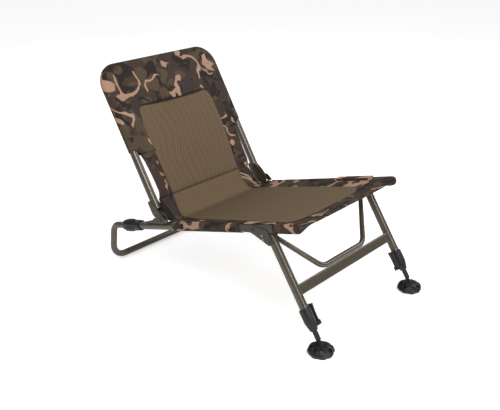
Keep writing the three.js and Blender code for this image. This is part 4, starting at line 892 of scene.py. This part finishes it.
def build_back_pocket():
    def half_width(up):
        if up <= HOOP_FLAT_UP:
            return HOOP_FLAT_X + HOOP_OUTER
        return HOOP_FLAT_X + math.sqrt(max(0.0, HOOP_OUTER ** 2 - (up - HOOP_FLAT_UP) ** 2))

    def surface(way):
        def place(i, j):
            side = eased_side(i)
            drop = POCKET_DROP * (1 - smooth(abs(side) * half_width(POCKET_START), 0.214, 0.236))
            up = lerp(POCKET_START - drop, HOOP_TOP + SLEEVE_RADIUS, math.sin(math.pi / 2 * j))
            x = side * half_width(up)
            return on_back(x, up, pocket_depth(x, up, way))
        return place

    pocket = two_sided("back_pocket", 72, 60, surface(-1), surface(1), CAMO, rimmed=False)
    wall = pocket.modifiers.new("wall", "SOLIDIFY")
    wall.thickness, wall.offset = POCKET_WALL, -1.0
    made_solid(pocket)
    finish_mesh(pocket, "backrest", "mesh_fabric", "back_cover")


def build_back_lower():
    def surface(level):
        def place(i, j):
            up = lerp(SEAM_UP - 0.002, POCKET_START + 0.004, j)
            across = 2 * i - 1
            edge = free_edge(up)
            x = across * edge
            tucked = smooth(up, 0.18, 0.224)
            forward = smooth(abs(x), edge - 0.05, edge) * smooth(up, 0.05, 0.09)
            depth = lerp(back_depth(up) + lerp(level, level - 0.0037, tucked),
                         0.0045 + (level - COVER_DEPTH) * 0.6, forward * (1 - tucked))
            fold = puckered(Vector((x, up, 0.9)), 0.0014, 20.0, 8.0) * (1 - tucked)
            return on_back(x, up, depth + fold * smooth(abs(across), 0.7, 0.9))
        return place

    lower = two_sided("back_lower_cover", 56, 30, surface(COVER_DEPTH), surface(0.0088), CAMO)
    finish_mesh(lower, "backrest", "mesh_fabric", "back_cover")


def build_back_pad():
    def place(i, j, way):
        up = lerp(SEAM_UP, MESH_TOP + 0.003, j)
        side = eased_side(i)
        rim = min(1.0, 9 * (1 - abs(side)), (up - SEAM_UP) / 0.012 + 0.03)
        depth = back_depth(up) + 0.0035 + way * (0.0008 + 0.0036 * math.sqrt(clamp(rim)))
        if way > 0:
            depth = lerp(depth, 0.0038, smooth(up, POCKET_START - 0.02, POCKET_START))
        return on_back(side * mesh_half_width_back(up), up, depth)

    pad = blown_panel("back_mesh_pad", 48, 48, place, (-1.0, 0.6), MESH, 0.0025, REARWARD)
    finish_mesh(pad, "backrest", "mesh_fabric", "back_cover")


def headrest_bottom(across):
    return MESH_TOP - 0.006 + 0.006 * across * across


def build_headrest():
    def place(i, j, way):
        side = eased_side(i)
        up = lerp(headrest_bottom(side), HEADREST_TOP, j)
        x = side * lerp(0.150, 0.182, smooth(j, 0.0, 0.5))
        inset = 1 - abs(side)
        blended = smooth(inset, 0.0, 0.3) * smooth(1 - j, 0.0, 0.45)
        bulge = 0.0075 * blended + 0.0012 * smooth(inset, 0.0, 0.08) * (1 - j)
        fold = puckered(Vector((x, up, 2.0)), 0.003, 20.0, 11.0) * smooth(inset, 0.0, 0.3)
        face = pocket_depth(x, max(up, POCKET_START + 0.03), -1) + 0.0012
        if way > 0:
            return on_back(x, up, face + 0.0012)
        return on_back(x, up, face - 0.0005 - bulge + fold * (1 - 0.6 * j) * 0.8)

    pad = blown_panel("headrest_pad", 44, 26, place, (-1.0, 0.5), CAMO, 0.0035, REARWARD)
    finish_mesh(pad, "backrest", "mesh_fabric", "back_cover")
    # The rope under the headrest is partly its hem binding and partly painted shadow for the shade its
    # flap casts on the mesh.
    hem = []
    for k in range(3, 118):
        wave = 0.0012 * math.sin(k * 0.42) * noise.noise(Vector((k * 0.11, 3.0, 0.0)))
        point = lerp(place(k / 120, 0.0, -1.0), place(k / 120, 0.0, 1.0), 0.3)
        hem.append(point + UPWARD * (wave - 0.0006))
    finish_mesh(thin_rope("headrest_hem_and_painted_shadow", hem, 0.0023, HEM_AND_SHADOW), "backrest", "mesh_fabric")


# Piping and stitches along the mesh borders
def back_line(offset, depth, sign, high=MESH_TOP):
    ups = [lerp(SEAM_UP, high, k / 60) for k in range(61)]
    return [on_back(sign * (mesh_half_width_back(u) + offset), u, back_depth(u) + depth) for u in ups]


def seat_line(offset, rise):
    def point(x, along):
        return on_rail(x, along, seat_height(x, along) + rise)

    line = []
    for k in range(25):
        along = lerp(MESH_REAR, mesh_front(1.0), k / 24)
        line.append(point(mesh_half_width_seat(along) + offset, along))
    for k in range(1, 80):
        side = math.cos(math.pi * k / 80)
        along = mesh_front(side) - offset * math.sqrt(1 - side ** 2)
        line.append(point(side * (mesh_half_width_seat(along) + offset), along))
    return line + [Vector((-p.x, p.y, p.z)) for p in reversed(line[:25])]


def crease_line(offset, rise, sign):
    line = []
    for k in range(41):
        place, normal = crease_profile(k / 40)
        x = sign * (crease_half_width(k / 40) + offset)
        line.append(Vector((x, place.y, place.z)) + normal * rise)
    return line


def sleeve_ring(sign, spot):
    """A ring round a sleeve; spot turns a place across and above its axis into a point."""
    angles = [math.radians(a) for a in range(0, 360, 12)]
    return [spot(sign * RAIL_X + SLEEVE_RADIUS * math.cos(a), SLEEVE_RADIUS * math.sin(a))
            for a in angles]


def build_trim():
    sides = (-1, 1)
    ropes = [thin_rope("piping", back_line(0.0, 0.0046, s), PIPING, TAPE) for s in sides]
    reach, depth = mesh_half_width_back(SEAM_UP), back_depth(SEAM_UP) + 0.0008
    seam = [on_back(lerp(-1, 1, k / 40) * reach, SEAM_UP, depth) for k in range(41)]
    ropes.append(thin_rope("piping", seam, 0.0018, TAPE))
    finish_mesh(joined("back_piping", ropes), "backrest", "mesh_fabric")
    rope = thin_rope("seat_piping", seat_line(0.0, 0.0006), PIPING, TAPE)
    finish_mesh(rope, "seat_frame", "mesh_fabric")
    ropes = [thin_rope("piping", crease_line(0.0, 0.0004, s), PIPING, TAPE) for s in sides]
    bend_with_back(joined("crease_piping", ropes))
    rows = [back_line(0.005, 0.0048, s, high=0.33) for s in sides]
    stitched("back_stitches", rows, "backrest")
    stitched("seat_stitches", [seat_line(0.005, 0.0007)], "seat_frame")
    hems = []
    for sign in sides:
        ring = sleeve_ring(sign, lambda x, rise: on_rail(x, SLEEVE_REAR_END + 0.001, rise))
        hems.append(thin_rope("hem", ring, PIPING, TAPE, closed=True))
    finish_mesh(joined("seat_sleeve_hems", hems), "seat_frame", "mesh_fabric")
    hems = []
    for sign in sides:
        ring = sleeve_ring(sign, lambda x, rise: on_back(x, POCKET_START, HOOP_BEHIND + rise))
        hems.append(thin_rope("hem", ring, 0.0009, TAPE, closed=True))
        ups = [lerp(0.09, 0.18, k / 40) for k in range(41)]
        edge = [on_back(sign * free_edge(u), u, COVER_DEPTH) for u in ups]
        hems.append(thin_rope("hem", edge, 0.0013, TAPE))
    finish_mesh(joined("back_hems", hems), "backrest", "mesh_fabric")


# Tubes with round bends
def build_rear_bar():
    top, end = on_rail(0, REAR_BAR_CORNER, 0), on_rail(0, REAR_BAR_INSERT, 0)
    foot_y = top.y + (top.z - REAR_BAR_RADIUS) * math.tan(REAR_BAR_LEAN)
    side = [(end.y, end.z), (top.y, top.z), (foot_y, REAR_BAR_RADIUS)]
    corners = [Vector((-RAIL_X, y, z)) for y, z in side]
    corners += [Vector((RAIL_X, y, z)) for y, z in side[::-1]]
    rings = tube_rings(rounded_path(corners, REAR_BAR_BENDS), REAR_BAR_RADIUS)
    finish_mesh(loft("rear_bar", rings, TUBE), "rear_bar", "tube_paint", "rear_bar_tube")


def build_stand():
    pin = on_leg(0, *STAND_PIN)

    def place(x, z):
        return turned_place(x, 0, z, pin.y, pin.z, STAND_LEAN)

    half = [(STAND_BLADE_X, 0), (STAND_BLADE_X, -STAND_SHOULDER), (STAND_BOTTOM_X, -STAND_LENGTH)]
    corners = [place(-x, z) for x, z in half] + [place(x, z) for x, z in half[::-1]]
    path = [corners[0], lerp(corners[0], corners[1], 0.6)]
    path += rounded_path(corners[1:-1], [STAND_BEND] * 2)
    path += [lerp(corners[-1], corners[-2], 0.6), corners[-1]]
    last = len(path) - 1

    def flatten(i, offset):
        share = {0: 0.28, 1: 0.28, 2: 0.6}.get(min(i, last - i), 1.0)
        return Vector((offset.x * share, offset.y, offset.z))

    parts = [loft("low_stand_bar", tube_rings(path, STAND_RADIUS, 24, squash=flatten), TUBE)]
    turns = [math.tau * k / 24 for k in range(24)]
    for sign in (-1, 1):
        rings = [[place(sign * STAND_BLADE_X + x, STAND_EYE * math.cos(t)) +
                  turned_place(0, STAND_EYE * math.sin(t), 0, 0, 0, STAND_LEAN) for t in turns]
                 for x in (-0.002, 0.002)]
        parts.append(loft("eye", rings, TUBE))
    finish_mesh(joined("low_stand_tube", parts), "low_stand", "tube_paint", "stand_tube")


def build_rivet_sets():
    hinges = [Vector((s * RAIL_X, HINGE_Y, HINGE_Z)) for s in (-1, 1)]
    legs = [Vector((s * RAIL_X, LEG_PIVOT_Y, LEG_PIVOT_Z)) for s in (-1, 1)]
    riveted("pivot_rivets", hinges + legs, {"Shank": 0.0035, "Head": 0.006, "Rise": 0.0019},
            "seat_frame",
            [f"{n}_{s}" for n in ("recline_rivet", "leg_rivet") for s in ("left", "right")])
    riveted("leg_tube_rivets", [on_leg(s * RAIL_X, LEG_AXIS, -LEG_RIVET_DROP) for s in (-1, 1)],
            {"Shank": 0.0021, "Head": 0.0038, "Rise": 0.0014}, "front_leg_frame",
            ["leg_tube_rivet_left", "leg_tube_rivet_right"])


def dress_cad_nodes():
    finishes = (
        (TUBE, ("seat_rail", "back_hoop_tube", "leg_tube", "leg_crossbar", "rear_bar_tube",
                "stand_tube")),
        (PLATE, ("hinge_bracket", "leg_saddle", "back_channel", "leg_plate")),
        (STEEL, ("ratchet_sector", "ratchet_pawl", "pawl_pin", "lever_pin", "stand_rivet",
                 "plate_spacer_pin", "recline_rivet", "leg_rivet")),
        (BLACK, ("rail_plug", "rail_ferrule", "twist_collar", "lock_housing", "lock_lever",
                 "lower_leg", "foot_ball", "rear_bar_bush")),
        (RUBBER, ("mud_foot",)), (CAMO, ("seat_cover", "back_cover")), (SEAT_MESH, ("crease_strip",)))
    for name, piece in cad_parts.items():
        finish = next(material for material, starts in finishes if name.startswith(starts))
        for slot_of_piece in piece.material_slots:
            slot_of_piece.material = finish
        through_tree(piece, EVEN_SHADING, {"Sharp Angle": 0.62})


build_seat_sling()
build_seat_pad()
build_crease()
build_back_pocket()
build_back_lower()
build_back_pad()
build_headrest()
build_trim()
build_rear_bar()
build_stand()
build_rivet_sets()
dress_cad_nodes()


# Floor, light and camera
def pointed(holder, place, direction):
    holder.location = place
    holder.rotation_euler = direction.to_track_quat("-Z", "Y").to_euler()


def build_studio():
    scene = bpy.context.scene
    data = bpy.data.meshes.new("studio_floor")
    half = 14.0
    corners = [(-half, -half, 0), (half, -half, 0), (half, half, 0), (-half, half, 0)]
    data.from_pydata(corners, [], [(0, 1, 2, 3)])
    floor = linked("studio_floor", data)
    paper, tree, shader = begin_material("studio_paper")
    glow = times(tree, put(tree, "ShaderNodeLightPath").outputs["Is Camera Ray"], 0.45)
    fill(tree, shader, {"Base Color": (0.9, 0.9, 0.9, 1), "Roughness": 0.9,
                        "Emission Color": (1, 1, 1, 1), "Emission Strength": glow})
    data.materials.append(paper)

    world = bpy.data.worlds.new("studio_light")
    scene.world = world
    world.use_nodes = True
    sky = world.node_tree
    rays = put(sky, "ShaderNodeLightPath")
    level = calc(sky, "MULTIPLY_ADD", rays.outputs["Is Camera Ray"], 0.45, 0.55)
    level = calc(sky, "MULTIPLY_ADD", rays.outputs["Is Glossy Ray"], -0.4, level)
    fill(sky, sky.nodes["Background"], {"Color": (1, 1, 1, 1), "Strength": level})

    aim = Vector((0, 0, 0.25))
    for name, place, wide, high, power in (("key_panel", (-1.6, -2.2, 2.8), 1.8, 1.8, 60.0),
                                           ("side_panel", (2.4, -0.9, 2.0), 1.6, 1.6, 22.0),
                                           ("rear_panel", (0.2, 2.6, 2.2), 1.6, 1.6, 20.0),
                                           ("strip_light", (-0.45, -3.2, 1.9), 0.28, 2.4, 30.0)):
        lamp = bpy.data.lights.new(name, "AREA")
        lamp.shape = "RECTANGLE"
        lamp.size, lamp.size_y = wide, high
        lamp.energy = power
        pointed(linked(name, lamp), place, aim - Vector(place))

    focal_in_widths = 762.49 / 500
    lens = bpy.data.cameras.new("photo_view")
    lens.sensor_width = 36.0
    lens.lens = focal_in_widths * lens.sensor_width
    scene.camera = linked("photo_view", lens)
    pointed(scene.camera, (-1.6861, -1.414854, 1.1566), Vector((0.70037, 0.60277, -0.38229)))
    scene.view_settings.view_transform = "Standard"


build_studio()
